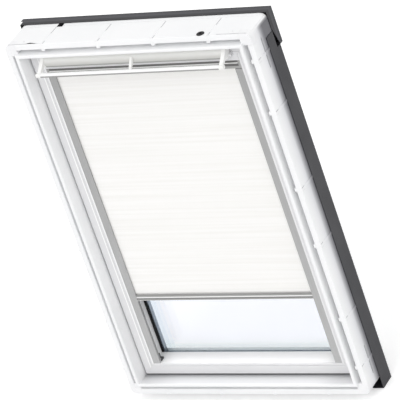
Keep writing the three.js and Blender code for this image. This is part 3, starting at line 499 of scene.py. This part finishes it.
# %% Glass
def window_glass():
    material, tree, shader = new_finish("window_glass", Transmission_Weight=1.0, Roughness=0.0, IOR=1.45)
    haze = grain(tree, 1.6, detail=2.0)
    tint = shades(tree, haze, tone(250, 251, 254), tone(251, 252, 255))
    bottom_edge = stripes(tree, "Z", (108, tone(252, 254, 252)), (108.5, grey(255)))
    left_edge = stripes(tree, "X", (-272, tone(248, 251, 252)), (-271, grey(255)))
    feed(tree, shader, Base_Color=over(tree, over(tree, tint, bottom_edge), left_edge))
    passing = add_node(tree, "BsdfTransparent", {"Color": tone(253, 254, 255)})
    light_path = add_node(tree, "LightPath")
    choice = add_node(
        tree, "MixShader",
        {0: light_path.outputs["Is Shadow Ray"], 1: shader.outputs["BSDF"], 2: passing.outputs["BSDF"]},
    )
    output = next(node for node in tree.nodes if node.type == "OUTPUT_MATERIAL")
    tree.links.new(choice.outputs["Shader"], output.inputs["Surface"])
    return material


finishes["glass"] = window_glass()
print("glass added")

# %% [markdown]
# ## Blind cloth
#
# The cloth is a close polyester weave with a coated back, which lets no light through. Two things
# show on it: the weave itself, a third of a millimetre across, and soft level streaks where a
# thicker thread was woven in or where the roll pressed the cloth. The streaks are what the eye sees
# from a distance. The pattern follows the cloth, so it reads the sheet's own UV map, which is in
# metres.

# %% Cloth
THREAD = 0.00042
WAVE_SCALE = 2 * math.pi / (20 * THREAD)


def blind_cloth():
    """Woven cloth. A wave texture turns 20 radians a metre for each unit of its scale."""
    material, tree, shader = new_finish(
        "blind_cloth", Roughness=0.88, Sheen_Weight=0.12, Specular_IOR_Level=0.25,
    )
    coordinates = add_node(tree, "TexCoord").outputs["UV"]
    waves = []
    for direction in ("X", "Y"):
        wave = add_node(
            tree, "TexWave", {"Vector": coordinates, "Scale": WAVE_SCALE, "Distortion": 0.6},
            wave_type="BANDS", bands_direction=direction,
        )
        waves.append(wave.outputs["Fac"])
    weave = add_node(tree, "Math", {0: waves[0], 1: waves[1]}, operation="MULTIPLY").outputs["Value"]
    drawn_out = add_node(tree, "Mapping", {"Vector": coordinates, "Scale": (1.5, 120.0, 1.0)})
    noise = {"Vector": drawn_out.outputs["Vector"], "Scale": 1.0, "Detail": 4.0}
    streaks = add_node(tree, "TexNoise", noise).outputs["Fac"]
    threads = shades(tree, weave, tone(252, 251, 250), tone(254, 253, 253), start=0.0, stop=0.8)
    bands = shades(tree, streaks, grey(250, -2), grey(255, -1), start=0.35, stop=0.62)
    pressed = relief(tree, streaks, 0.0001, 0.25)
    feed(
        tree, shader,
        Base_Color=over(tree, threads, bands),
        Normal=relief(tree, weave, 0.00008, 0.5, under=pressed),
    )
    return material


finishes["blind_cloth"] = blind_cloth()
print("finishes in all:", len(finishes))

# %% [markdown]
# ## Finishes on the rigid parts
#
# The record says which finish each rigid part takes. The parts keep their own shapes; two modifiers
# only break their sharp edges. A real edge is never perfectly sharp, and the thin line of light on a
# rounded edge is what makes a render look solid. The parts come in as loose triangles, so a small
# node tree first joins their corners and marks where the surface really turns.

# %% Edges
EDGE_ANGLE = math.radians(32)
SAME_CORNER = 0.000002
BEVEL_STEPS = 2
EDGE_WIDTH_ELSEWHERE = 0.0002
EDGE_WIDTHS = {
    "white_frame": 0.0008, "white_sash": 0.0008, "flap_plastic": 0.0005, "control_bar": 0.0008,
    "corner_plastic": 0.0004, "grey_cladding": 0.0003, "blind_rail": 0.0003, "bottom_bar": 0.0004,
}


def join_tree():
    """Geometry Nodes: joins loose triangles and shades them smooth, except across real edges."""
    tree = bpy.data.node_groups.new("join_and_smooth", "GeometryNodeTree")
    tree.interface.new_socket("Geometry", in_out="INPUT", socket_type="NodeSocketGeometry")
    tree.interface.new_socket("Turn", in_out="INPUT", socket_type="NodeSocketFloat")
    tree.interface.new_socket("Geometry", in_out="OUTPUT", socket_type="NodeSocketGeometry")
    start = tree.nodes.new("NodeGroupInput")
    end = tree.nodes.new("NodeGroupOutput")
    plain = tree.nodes.new("GeometryNodeRemoveAttribute")
    plain.inputs["Name"].default_value = "custom_normal"
    merge = tree.nodes.new("GeometryNodeMergeByDistance")
    merge.inputs["Distance"].default_value = SAME_CORNER
    faces = tree.nodes.new("GeometryNodeSetShadeSmooth")
    edges = tree.nodes.new("GeometryNodeSetShadeSmooth")
    edges.domain = "EDGE"
    edges.inputs["Shade Smooth"].default_value = False
    angle = tree.nodes.new("GeometryNodeInputMeshEdgeAngle")
    turns = tree.nodes.new("FunctionNodeCompare")
    link = tree.links.new
    link(start.outputs["Geometry"], plain.inputs["Geometry"])
    link(plain.outputs["Geometry"], merge.inputs["Geometry"])
    link(merge.outputs["Geometry"], faces.inputs["Geometry"])
    link(faces.outputs["Geometry"], edges.inputs["Geometry"])
    link(angle.outputs["Unsigned Angle"], turns.inputs["A"])
    link(start.outputs["Turn"], turns.inputs["B"])
    link(turns.outputs["Result"], edges.inputs["Selection"])
    link(edges.outputs["Geometry"], end.inputs["Geometry"])
    return tree


JOIN_TREE = join_tree()


def soften(piece, width):
    """Joins a piece's triangles and rounds its edges, without touching its own mesh."""
    join = piece.modifiers.new("join", "NODES")
    join.node_group = JOIN_TREE
    turn = next(item for item in JOIN_TREE.interface.items_tree if item.name == "Turn")
    join[turn.identifier] = EDGE_ANGLE
    bevel = piece.modifiers.new("edges", "BEVEL")
    bevel.limit_method = "ANGLE"
    bevel.angle_limit = EDGE_ANGLE
    bevel.width = width
    bevel.segments = BEVEL_STEPS
    bevel.use_clamp_overlap = True
    bevel.harden_normals = True


print("edges are rounded by", EDGE_WIDTH_ELSEWHERE, "to", max(EDGE_WIDTHS.values()), "m")

# %% Put the finishes on
for name, piece in nodes.items():
    slot = piece.material_slots[0].material.name.split(".")[0]
    piece.material_slots[0].material = own_finishes.get(name, finishes[slot])
    soften(piece, EDGE_WIDTHS.get(slot, EDGE_WIDTH_ELSEWHERE))
print("finished parts:", len(nodes))

# %% [markdown]
# ## From mesh to piece
#
# The soft and small pieces that follow are drawn face by face and then put into the scene, all in
# the same way. Cloth also gets its thickness here: it is drawn as a sheet without any, and a
# Solidify modifier gives it two sides and a rim.

# %% Tools for pieces
CLOTH_WALL = 0.0003


def to_piece(title, mesh_data, finish):
    """Turns a mesh under construction into a piece of the scene."""
    mesh = bpy.data.meshes.new(title)
    mesh_data.to_mesh(mesh)
    mesh_data.free()
    mesh.materials.append(finish)
    piece = bpy.data.objects.new(title, mesh)
    scene.collection.objects.link(piece)
    return piece


def to_cloth(title, mesh_data):
    """Turns a grid of faces into a piece of cloth, half its thickness on either side of the grid."""
    piece = to_piece(title, mesh_data, finishes["blind_cloth"])
    wall = piece.modifiers.new("wall", "SOLIDIFY")
    wall.thickness = CLOTH_WALL
    wall.offset = 0.0
    return piece


print("cloth is", CLOTH_WALL, "m thick")

# %% [markdown]
# ## The cloth that shows
#
# The cloth leaves the roll at the top, hangs in front of the glass and ends in the bottom bar. When
# the bar moves, cloth winds on or off, which a solid sheet can't do. So the sheet is made as two
# layers that slide over each other like a telescope: one hangs from the roll, the other stands on the
# bottom bar. Together they always reach from roll to bar. Each is a fine grid of faces with a slight
# wave, as hanging cloth has: long level ripples of about ten centimetres, and shorter ones of half
# their height.

# %% Hanging sheets
CLOTH_COLUMNS = 48
ROW_HEIGHT = 0.006
cloth_low, cloth_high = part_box("blind_cloth")
cloth_width = cloth_high.x - cloth_low.x


def hanging_sheet(title, bottom, top, depth, wave):
    """A sheet in the plane Y = depth, with faint level waves, and UV in metres."""
    rows = int((top - bottom) / ROW_HEIGHT)
    mesh_data = bmesh.new()
    uv_map = mesh_data.loops.layers.uv.new("cloth")
    grid = []
    for row in range(rows + 1):
        z = bottom + (top - bottom) * row / rows
        line = []
        for column in range(CLOTH_COLUMNS + 1):
            x = cloth_low.x + cloth_width * column / CLOTH_COLUMNS
            ripple = math.sin(z * 61.0 + 1.3) * math.cos(x * 5.0) + 0.5 * math.sin(z * 143.0 + x * 3.0)
            line.append(mesh_data.verts.new((x, depth + wave * ripple, z)))
        grid.append(line)
    for lower, upper in zip(grid, grid[1:]):
        for column in range(CLOTH_COLUMNS):
            corners = [lower[column], lower[column + 1], upper[column + 1], upper[column]]
            face = mesh_data.faces.new(corners)
            face.smooth = True
            for loop in face.loops:
                loop[uv_map].uv = (loop.vert.co.x, loop.vert.co.z)
    print(title, "is", round(cloth_width, 4), "by", round(top - bottom, 4), "m,", rows, "rows")
    return to_cloth(title, mesh_data)


FRONT_DEPTH = cloth_low.y + 0.00005
BACK_DEPTH = FRONT_DEPTH + 0.0009
FRONT_WAVE = 0.00012
BACK_WAVE = 0.00008
BACK_LENGTH = 0.617
front_sheet = hanging_sheet("cloth_front", cloth_low.z, cloth_high.z, FRONT_DEPTH, FRONT_WAVE)
back_sheet = hanging_sheet("cloth_back", cloth_low.z, cloth_low.z + BACK_LENGTH, BACK_DEPTH, BACK_WAVE)

# %% Cloth and joint
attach(front_sheet, "sash")
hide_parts("blind_cloth")
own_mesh(front_sheet)
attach(back_sheet, "blind_bar")
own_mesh(back_sheet)
print("cloth from", round(cloth_low.z, 4), "to", round(cloth_high.z, 4))

# %% [markdown]
# ## The wound cloth
#
# The rest of the cloth is on the roll. Its end shows a spiral, so it is made as one: a strip that
# follows a slowly growing circle round the tube. The strip is one long sheet, like the real one.

# %% Wound cloth
roll_low, roll_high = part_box("cloth_roll")
roll_centre = (roll_low + roll_high) / 2
ROLL_OUTSIDE = (roll_high.z - roll_low.z) / 2
TURNS = 6
STEPS_A_TURN = 36
WOUND_COLUMNS = 6
GAP_TO_TUBE = 0.0004
ROLL_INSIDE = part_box("roller_tube")[1].z - roll_centre.z + GAP_TO_TUBE
roll_width = roll_high.x - roll_low.x
wound_places = [roll_low.x + roll_width * column / WOUND_COLUMNS for column in range(WOUND_COLUMNS + 1)]


def wound_strip():
    """A strip that spirals outwards round the tube, and its length."""
    mesh_data = bmesh.new()
    uv_map = mesh_data.loops.layers.uv.new("cloth")
    steps = TURNS * STEPS_A_TURN
    length = 0.0
    rows = []
    lengths = []
    for step in range(steps + 1):
        turn = 2 * math.pi * step / STEPS_A_TURN
        radius = ROLL_INSIDE + (ROLL_OUTSIDE - CLOTH_WALL - ROLL_INSIDE) * step / steps
        y = roll_centre.y - radius * math.cos(turn)
        z = roll_centre.z + radius * math.sin(turn)
        rows.append([mesh_data.verts.new((x, y, z)) for x in wound_places])
        if step:
            length += (rows[-1][0].co - rows[-2][0].co).length
        lengths.append(length)
    for step in range(steps):
        inner, outer = rows[step], rows[step + 1]
        for column in range(WOUND_COLUMNS):
            corners = [inner[column], outer[column], outer[column + 1], inner[column + 1]]
            face = mesh_data.faces.new(corners)
            face.smooth = True
            for loop, place in zip(face.loops, (step, step + 1, step + 1, step)):
                loop[uv_map].uv = (loop.vert.co.x, lengths[place])
    return to_cloth("cloth_wound", mesh_data), length


wound, wound_length = wound_strip()
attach(wound, "roller")
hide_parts("cloth_roll")
print("wound cloth:", round(wound_length, 3), "m")

# %% [markdown]
# ## Seals, beads and trim
#
# A real window has thin strips that run the whole width. Two dark strips along the blind's casing are
# painted shade in its recesses, with a pale bead between them. A dark rubber lip under the sash is
# set forward in the gap: it is partly the window's seal and partly painted shade for the gap. Pale
# tape lies at the edge of the glass. A short dark tab holds the hood on the frame's top. Each has the
# same section from end to end, so one helper draws the section and sweeps it along X.

# %% Swept strips
ROUNDING_STEPS = 3


def swept(title, section, low_x, high_x, finish, body, rounded):
    """A closed bar along X. The section is a list of (y, z) in millimetres."""
    mesh_data = bmesh.new()
    ends = [[mesh_data.verts.new((x * MM, y * MM, z * MM)) for y, z in section] for x in (low_x, high_x)]
    count = len(section)
    for i in range(count):
        j = (i + 1) % count
        mesh_data.faces.new((ends[0][i], ends[0][j], ends[1][j], ends[1][i]))
    mesh_data.faces.new(ends[0])
    mesh_data.faces.new(ends[1])
    bmesh.ops.recalc_face_normals(mesh_data, faces=mesh_data.faces)
    piece = to_piece(title, mesh_data, finish)
    if rounded:
        bevel = piece.modifiers.new("rounded", "BEVEL")
        bevel.width = rounded * MM
        bevel.segments = ROUNDING_STEPS
        bevel.limit_method = "ANGLE"
    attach(piece, body)


def box_section(front, back, bottom, top):
    """A rectangle as a section."""
    return [(front, bottom), (back, bottom), (back, top), (front, top)]


# Dark strips of painted shade in the recesses of the blind's casing.
gap_shade_finish = moulded_plastic("painted_gap_shade", grey(118, -1), grey(102, -1), 0.7, 0.0002)
pale_bead = moulded_plastic("pale_bead", grey(238, -1), grey(234, -1), 0.35, 0.00002)
tape = moulded_plastic("sealing_tape", tone(250, 253, 254), tone(247, 251, 252), 0.5, 0.00002)
# A dark lip set forward in the gap under the sash: partly a seal, partly painted shade for the gap.
gap_shade_rubber = moulded_plastic("gap_shade_rubber", grey(112, 1), grey(100, 1), 0.6, 0.00006)
black_clip = moulded_plastic("black_clip", grey(16, 2), grey(10, 2), 0.8, 0.00004, shine=0.05)

CASING_ENDS = (-300, 300)
SASH_ENDS = (-343, 343)
TAB_ENDS = (-262, -246)
UPPER_SHADE_STRIP, LOWER_SHADE_STRIP = (-16.2, -15.6, 1069.4, 1076.5), (-16.2, -15.6, 1057.7, 1065.6)
BEAD = (-17.4, -15.6, 1065.8, 1069.2)
GAP_SHADE_LIP = (-17.4, -15.8, 42.6, 44.8)
TAPE = (61.35, 61.65, 72.3, 81.0)
TAB = (36.5, 52.5, 1178.1, 1179.6)
STRIPS = [
    ("casing_shade_strip_upper", UPPER_SHADE_STRIP, CASING_ENDS, gap_shade_finish, "blind_casing", "sash", 0.2),
    ("casing_shade_strip_lower", LOWER_SHADE_STRIP, CASING_ENDS, gap_shade_finish, "blind_casing", "sash", 0.2),
    ("casing_bead", BEAD, CASING_ENDS, pale_bead, "blind_casing", "sash", 0.7),
    ("sash_gap_shade_lip", GAP_SHADE_LIP, SASH_ENDS, gap_shade_rubber, "seal_rubber", "sash", 0.5),
    ("edge_tape_bottom", TAPE, CASING_ENDS, tape, "white_sash", "sash", 0.0),
    ("hood_tab", TAB, TAB_ENDS, black_clip, "dark_plastic", "frame", 0.3),
]
for title, sides, ends, finish, slot, body, rounded in STRIPS:
    swept(title, box_section(*sides), ends[0], ends[1], finish, body, rounded)
print("strips:", len(STRIPS))

# %% [markdown]
# ## Joint lines
#
# The frame is clad in moulded profiles, and fine grey lines show where ribs and steps meet the flat
# faces. The rigid parts have the ribs and steps themselves. The lines beside them are painted shade:
# the shadow in a joint less than a millimetre wide, drawn as flat grey strips laid along them. The
# places of the ribs are shares of the frame's half length, as on the frame.

# %% Joint lines
HALF_WIDTH, HALF_HEIGHT = 390, 589
HEAD_RIB_SHARES = [-0.687, -0.233, 0.215, 0.659]
JAMB_RIB_SHARES = [-0.849, -0.572, -0.156, 0.156, 0.572, 0.849]
FROM_RIB = 4.7
HALF_LINE = 0.5
HEAD_FACE = (1178.05, 1178.25)
JAMB_FACES = ((-390.25, -390.05), (390.05, 390.25))
AT_FRONT_EDGE = (-53, -38)
AT_HOOD = (2, 36)
STEP_DEPTH = -50.5
STEP_ENDS = ((-378, -287), (287, 378))
CORNER_DEPTHS = (-9.5, -5.5)
CORNER_ENDS = ((42, 134), (1044, 1136))


def flat_boxes(title, boxes, finish, body):
    """One piece of many small closed boxes. A box is a low and a high number for X, Y and Z."""
    mesh_data = bmesh.new()
    for box in boxes:
        middle = Vector([(low + high) / 2 for low, high in box]) * MM
        size = Vector([high - low for low, high in box]) * MM
        place = Matrix.Translation(middle) @ Matrix.Diagonal(size).to_4x4()
        bmesh.ops.create_cube(mesh_data, size=1.0, matrix=place)
    piece = to_piece(title, mesh_data, finish)
    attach(piece, body)
    print(title, "has", len(boxes), "lines")


def line_at(middle):
    """Both edges of a line."""
    return (middle - HALF_LINE, middle + HALF_LINE)


def beside(rib):
    """The places of the two lines beside a rib."""
    return (rib - FROM_RIB, rib + FROM_RIB)


head_lines = []
for rib in HEAD_RIB_SHARES:
    for x in beside(rib * HALF_WIDTH):
        head_lines += [(line_at(x), ends, HEAD_FACE) for ends in (AT_FRONT_EDGE, AT_HOOD)]
head_lines += [(ends, line_at(STEP_DEPTH), HEAD_FACE) for ends in STEP_ENDS]
jamb_lines = []
for face in JAMB_FACES:
    for rib in JAMB_RIB_SHARES:
        jamb_lines += [(face, AT_FRONT_EDGE, line_at(z)) for z in beside(HALF_HEIGHT * (1 + rib))]
    for depth in CORNER_DEPTHS:
        jamb_lines += [(face, line_at(depth), ends) for ends in CORNER_ENDS]
# Grey strips of painted shade beside the ribs and steps.
joint_painted_shade = moulded_plastic("joint_painted_shade", grey(172, 2), grey(160, 2), 0.7, 0.00004)
flat_boxes("head_joint_shade", head_lines, joint_painted_shade, "frame")
flat_boxes("jamb_joint_shade", jamb_lines, joint_painted_shade, "frame")

# %% [markdown]
# ## Screws
#
# Screws repeat, so Geometry Nodes make them. A mesh that has only points says where they go, and an
# attribute on each point says which way its head faces. The tree cuts a cross into a head with
# sloping sides, sets one on every point, turns the copies into real faces and gives them steel. The
# small holes in the spacer between the panes, through which its drying beads breathe, use the same
# tree with other sizes and no cross: each is a small dark disc set on the spacer, painted shade in
# place of a hole that is cut.

# %% A tree for fittings
TOP_SHARE = 0.78
CROSS_LENGTH_SHARE = 1.2
CROSS_WIDTH_SHARE = 0.24


def fitting_tree(title, finish, sides, crossed):
    """Geometry Nodes: a small head on every point, with or without a cross cut into it."""
    tree = bpy.data.node_groups.new(title, "GeometryNodeTree")
    sockets = [("Geometry", "INPUT", "NodeSocketGeometry"), ("Radius", "INPUT", "NodeSocketFloat")]
    sockets += [("Height", "INPUT", "NodeSocketFloat"), ("Geometry", "OUTPUT", "NodeSocketGeometry")]
    for name, way, kind in sockets:
        tree.interface.new_socket(name, in_out=way, socket_type=kind)

    def node(kind, links=None, values=None, **settings):
        """One more node, with its settings, its values and its links."""
        made = tree.nodes.new(kind)
        for name, value in settings.items():
            setattr(made, name, value)
        for socket, value in (values or {}).items():
            made.inputs[socket].default_value = value
        for socket, source in (links or {}).items():
            tree.links.new(source, made.inputs[socket])
        return made

    start = node("NodeGroupInput")
    radius, height = start.outputs["Radius"], start.outputs["Height"]

    def share_of_radius(share):
        return node("ShaderNodeMath", {0: radius}, {1: share}, operation="MULTIPLY").outputs[0]

    head = node(
        "GeometryNodeMeshCone",
        {"Radius Top": share_of_radius(TOP_SHARE), "Radius Bottom": radius, "Depth": height},
        {"Vertices": sides},
    ).outputs["Mesh"]
    if crossed:
        long_side = share_of_radius(CROSS_LENGTH_SHARE)
        short_side = share_of_radius(CROSS_WIDTH_SHARE)
        lift = node("ShaderNodeCombineXYZ", {"Z": height}).outputs[0]
        for width, depth in ((long_side, short_side), (short_side, long_side)):
            size = node("ShaderNodeCombineXYZ", {"X": width, "Y": depth, "Z": height})
            bar = node("GeometryNodeMeshCube", {"Size": size.outputs[0]}).outputs["Mesh"]
            raised = node("GeometryNodeTransform", {"Geometry": bar, "Translation": lift}).outputs[0]
            solids = {"Mesh 1": head, "Mesh 2": raised}
            head = node("GeometryNodeMeshBoolean", solids, operation="DIFFERENCE").outputs["Mesh"]
    facing = node("GeometryNodeInputNamedAttribute", values={"Name": "facing"}, data_type="FLOAT_VECTOR")
    turned = node("FunctionNodeAlignRotationToVector", {"Vector": facing.outputs["Attribute"]}, axis="Z")
    placed = node(
        "GeometryNodeInstanceOnPoints",
        {"Points": start.outputs["Geometry"], "Instance": head, "Rotation": turned.outputs["Rotation"]},
    )
    real = node("GeometryNodeRealizeInstances", {"Geometry": placed.outputs["Instances"]}).outputs[0]
    coated = node("GeometryNodeSetMaterial", {"Geometry": real}, {"Material": finish}).outputs[0]
    node("NodeGroupOutput", {"Geometry": coated})
    return tree


def set_fittings(title, tree, places, radius, height, body):
    """Places are (x, y, z, facing) in millimetres. The result is one plain mesh for its body."""
    points = bpy.data.meshes.new(title + "_places")
    points.from_pydata([Vector(place[:3]) * MM for place in places], [], [])
    facing = points.attributes.new("facing", "FLOAT_VECTOR", "POINT")
    for item, place in zip(facing.data, places):
        item.vector = place[3]
    holder = bpy.data.objects.new(title + "_places", points)
    scene.collection.objects.link(holder)
    fittings = holder.modifiers.new("fittings", "NODES")
    fittings.node_group = tree
    sizes = {"Radius": radius * MM, "Height": height * MM}
    for socket in tree.interface.items_tree:
        if socket.name in sizes:
            fittings[socket.identifier] = sizes[socket.name]
    graph = bpy.context.evaluated_depsgraph_get()
    mesh = bpy.data.meshes.new_from_object(holder.evaluated_get(graph), depsgraph=graph)
    bpy.data.objects.remove(holder)
    piece = bpy.data.objects.new(title, mesh)
    scene.collection.objects.link(piece)
    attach(piece, body)
    print(title, "has", len(places), "pieces and", len(mesh.polygons), "faces")


# %% Screws on the fittings
SCREW_RADIUS, SCREW_HEIGHT = 3.2, 0.9
SIDES = (-1, 1)
OUT, DOWN, UP = (0, 1, 0), (0, 0, -1), (0, 0, 1)
STRIKER_SCREWS = [(x, 20.5, 1136.0, DOWN) for x in (-24, 24)]
SILL_COVER_SCREWS = [(x, 58.7, 12, OUT) for x in (-250, 0, 250)]
HINGE_PLATE, HINGE_DEPTHS, HINGE_LEVELS = 348.0, (12.5, 28.5), (538, 640)
SIDE_COVER, SIDE_COVER_BACK, SIDE_COVER_LEVELS = 376, 72.2, (40, 300, 560, 820)
SASH_COVER, SASH_COVER_BACK, SASH_COVER_LEVELS = 328.5, 68.7, (140, 400, 780, 1040)

screw_tree = fitting_tree("screw_heads", finishes["steel"], 20, True)
frame_screws = STRIKER_SCREWS + SILL_COVER_SCREWS
for side in SIDES:
    for y in HINGE_DEPTHS:
        frame_screws += [(side * HINGE_PLATE, y, z, (-side, 0, 0)) for z in HINGE_LEVELS]
    frame_screws += [(side * SIDE_COVER, SIDE_COVER_BACK, z, OUT) for z in SIDE_COVER_LEVELS]
sash_screws = [(side * SASH_COVER, SASH_COVER_BACK, z, OUT) for side in SIDES for z in SASH_COVER_LEVELS]
sash_screws += [(x, SASH_COVER_BACK, 46, OUT) for x in (-220, 0, 220)]
set_fittings("frame_screws", screw_tree, frame_screws, SCREW_RADIUS, SCREW_HEIGHT, "frame")
set_fittings("sash_screws", screw_tree, sash_screws, SCREW_RADIUS, SCREW_HEIGHT, "sash")

# %% Holes in the spacer
HOLE_RADIUS, HOLE_HEIGHT, HOLE_SPACING = 0.7, 0.2, 10
SPACER_DEPTH, SPACER_FLOOR, SPACER_SIDE = 54.3, 72.1, 300.4

# Dark discs of painted shade in place of the spacer's holes.
hole_shade_tree = fitting_tree("hole_shade_discs", finishes["dark_plastic"], 10, False)
holes = [(x, SPACER_DEPTH, SPACER_FLOOR, UP) for x in range(-290, 291, HOLE_SPACING)]
for side in SIDES:
    levels = range(85, 1081, HOLE_SPACING)
    holes += [(side * SPACER_SIDE, SPACER_DEPTH, z, (-side, 0, 0)) for z in levels]
set_fittings("spacer_hole_shade", hole_shade_tree, holes, HOLE_RADIUS, HOLE_HEIGHT, "sash")

# %% [markdown]
# ## Floor, backdrop and light
#
# The photograph has a plain white background. The floor is a pale surface that also glows a little
# for the camera, for mirrors and for glass, which brings it to white without any extra light on the
# object, and it still shows the object's shadow. The sky is an even white and does most of the work.

# %% Floor
WHITE = (1.0, 1.0, 1.0, 1.0)
FLOOR_HALF = 30.0
BELOW_OBJECT = 0.0005
FLOOR_GLOW = 0.35
floor_level = cad_box[0][2] - BELOW_OBJECT
quarters = [(-1, -1), (1, -1), (1, 1), (-1, 1)]
floor_corners = [(x * FLOOR_HALF, y * FLOOR_HALF, floor_level) for x, y in quarters]
floor_data = bpy.data.meshes.new("floor")
floor_data.from_pydata(floor_corners, [], [(0, 1, 2, 3)])
floor = bpy.data.objects.new("floor", floor_data)
scene.collection.objects.link(floor)


def seen_directly(tree):
    """1 for rays from the camera, from a mirror or through glass, and 0 for light that bounces."""
    rays = add_node(tree, "LightPath").outputs
    seen = rays["Is Camera Ray"]
    for other in ("Is Glossy Ray", "Is Transmission Ray"):
        seen = add_node(tree, "Math", {0: seen, 1: rays[other]}, operation="MAXIMUM").outputs["Value"]
    return seen


floor_material, floor_tree, floor_shader = new_finish(
    "pale_floor", Roughness=0.9, Specular_IOR_Level=0.1, Emission_Color=WHITE,
)
floor_glow = between(floor_tree, seen_directly(floor_tree), 0.0, FLOOR_GLOW, start=0.0, stop=1.0)
feed(
    floor_tree, floor_shader,
    Base_Color=shades(floor_tree, grain(floor_tree, 3.0), grey(236), grey(240)),
    Emission_Strength=floor_glow,
)
floor_data.materials.append(floor_material)
print("floor at", round(floor_level, 4))

# %% Sky
SKY_STRENGTH = 0.78
world = bpy.data.worlds.new("sky")
scene.world = world
world.use_nodes = True
sky = world.node_tree
sky.nodes.clear()
sky_strength = between(sky, seen_directly(sky), SKY_STRENGTH, 1.0, start=0.0, stop=1.0)
background = add_node(sky, "Background", {"Color": WHITE, "Strength": sky_strength})
add_node(sky, "OutputWorld", {"Surface": background.outputs["Background"]})
print("sky strength:", SKY_STRENGTH)

# %% [markdown]
# ## Lamps
#
# Three far lamps, from the front, from the right and from above, are so broad that they have hardly
# any shadows. They give faces that are turned differently their own greys. The sill lies deep
# between the blind's rails and gets little of the sky, so a strip lamp under the blind's bar, which
# no ray of the camera or of a mirror can see, shines straight down on it in a narrow fan.

# %% Far lamps
def lamp(title, direction, strength, spread):
    """A far lamp that shines along direction. Spread is how soft its shadows are, in degrees."""
    data = bpy.data.lights.new(title, "SUN")
    data.energy = strength
    data.angle = math.radians(spread)
    light = bpy.data.objects.new(title, data)
    scene.collection.objects.link(light)
    light.rotation_euler = Vector(direction).to_track_quat("-Z", "Y").to_euler()
    print(title, "has strength", strength)


lamp("key_lamp", direction=(-0.10, 0.80, -0.59), strength=0.52, spread=30)
lamp("side_lamp", direction=(-0.80, 0.30, -0.52), strength=0.25, spread=40)
lamp("top_lamp", direction=(0.0, 0.45, -0.89), strength=0.32, spread=50)

# %% Sill lamp
STRIP_LENGTH, STRIP_WIDTH = 0.54, 0.05
STRIP_PLACE = (0.0, -0.028, 0.29)
STRIP_POWER = 0.06
STRIP_FAN = math.radians(36)
strip = bpy.data.lights.new("sill_lamp", "AREA")
strip.shape = "RECTANGLE"
strip.size = STRIP_LENGTH
strip.size_y = STRIP_WIDTH
strip.spread = STRIP_FAN
strip.energy = STRIP_POWER
sill_lamp = bpy.data.objects.new("sill_lamp", strip)
scene.collection.objects.link(sill_lamp)
sill_lamp.location = STRIP_PLACE
sill_lamp.visible_camera = False
sill_lamp.visible_glossy = False
sill_lamp.visible_transmission = False
scene.view_settings.view_transform = "Standard"
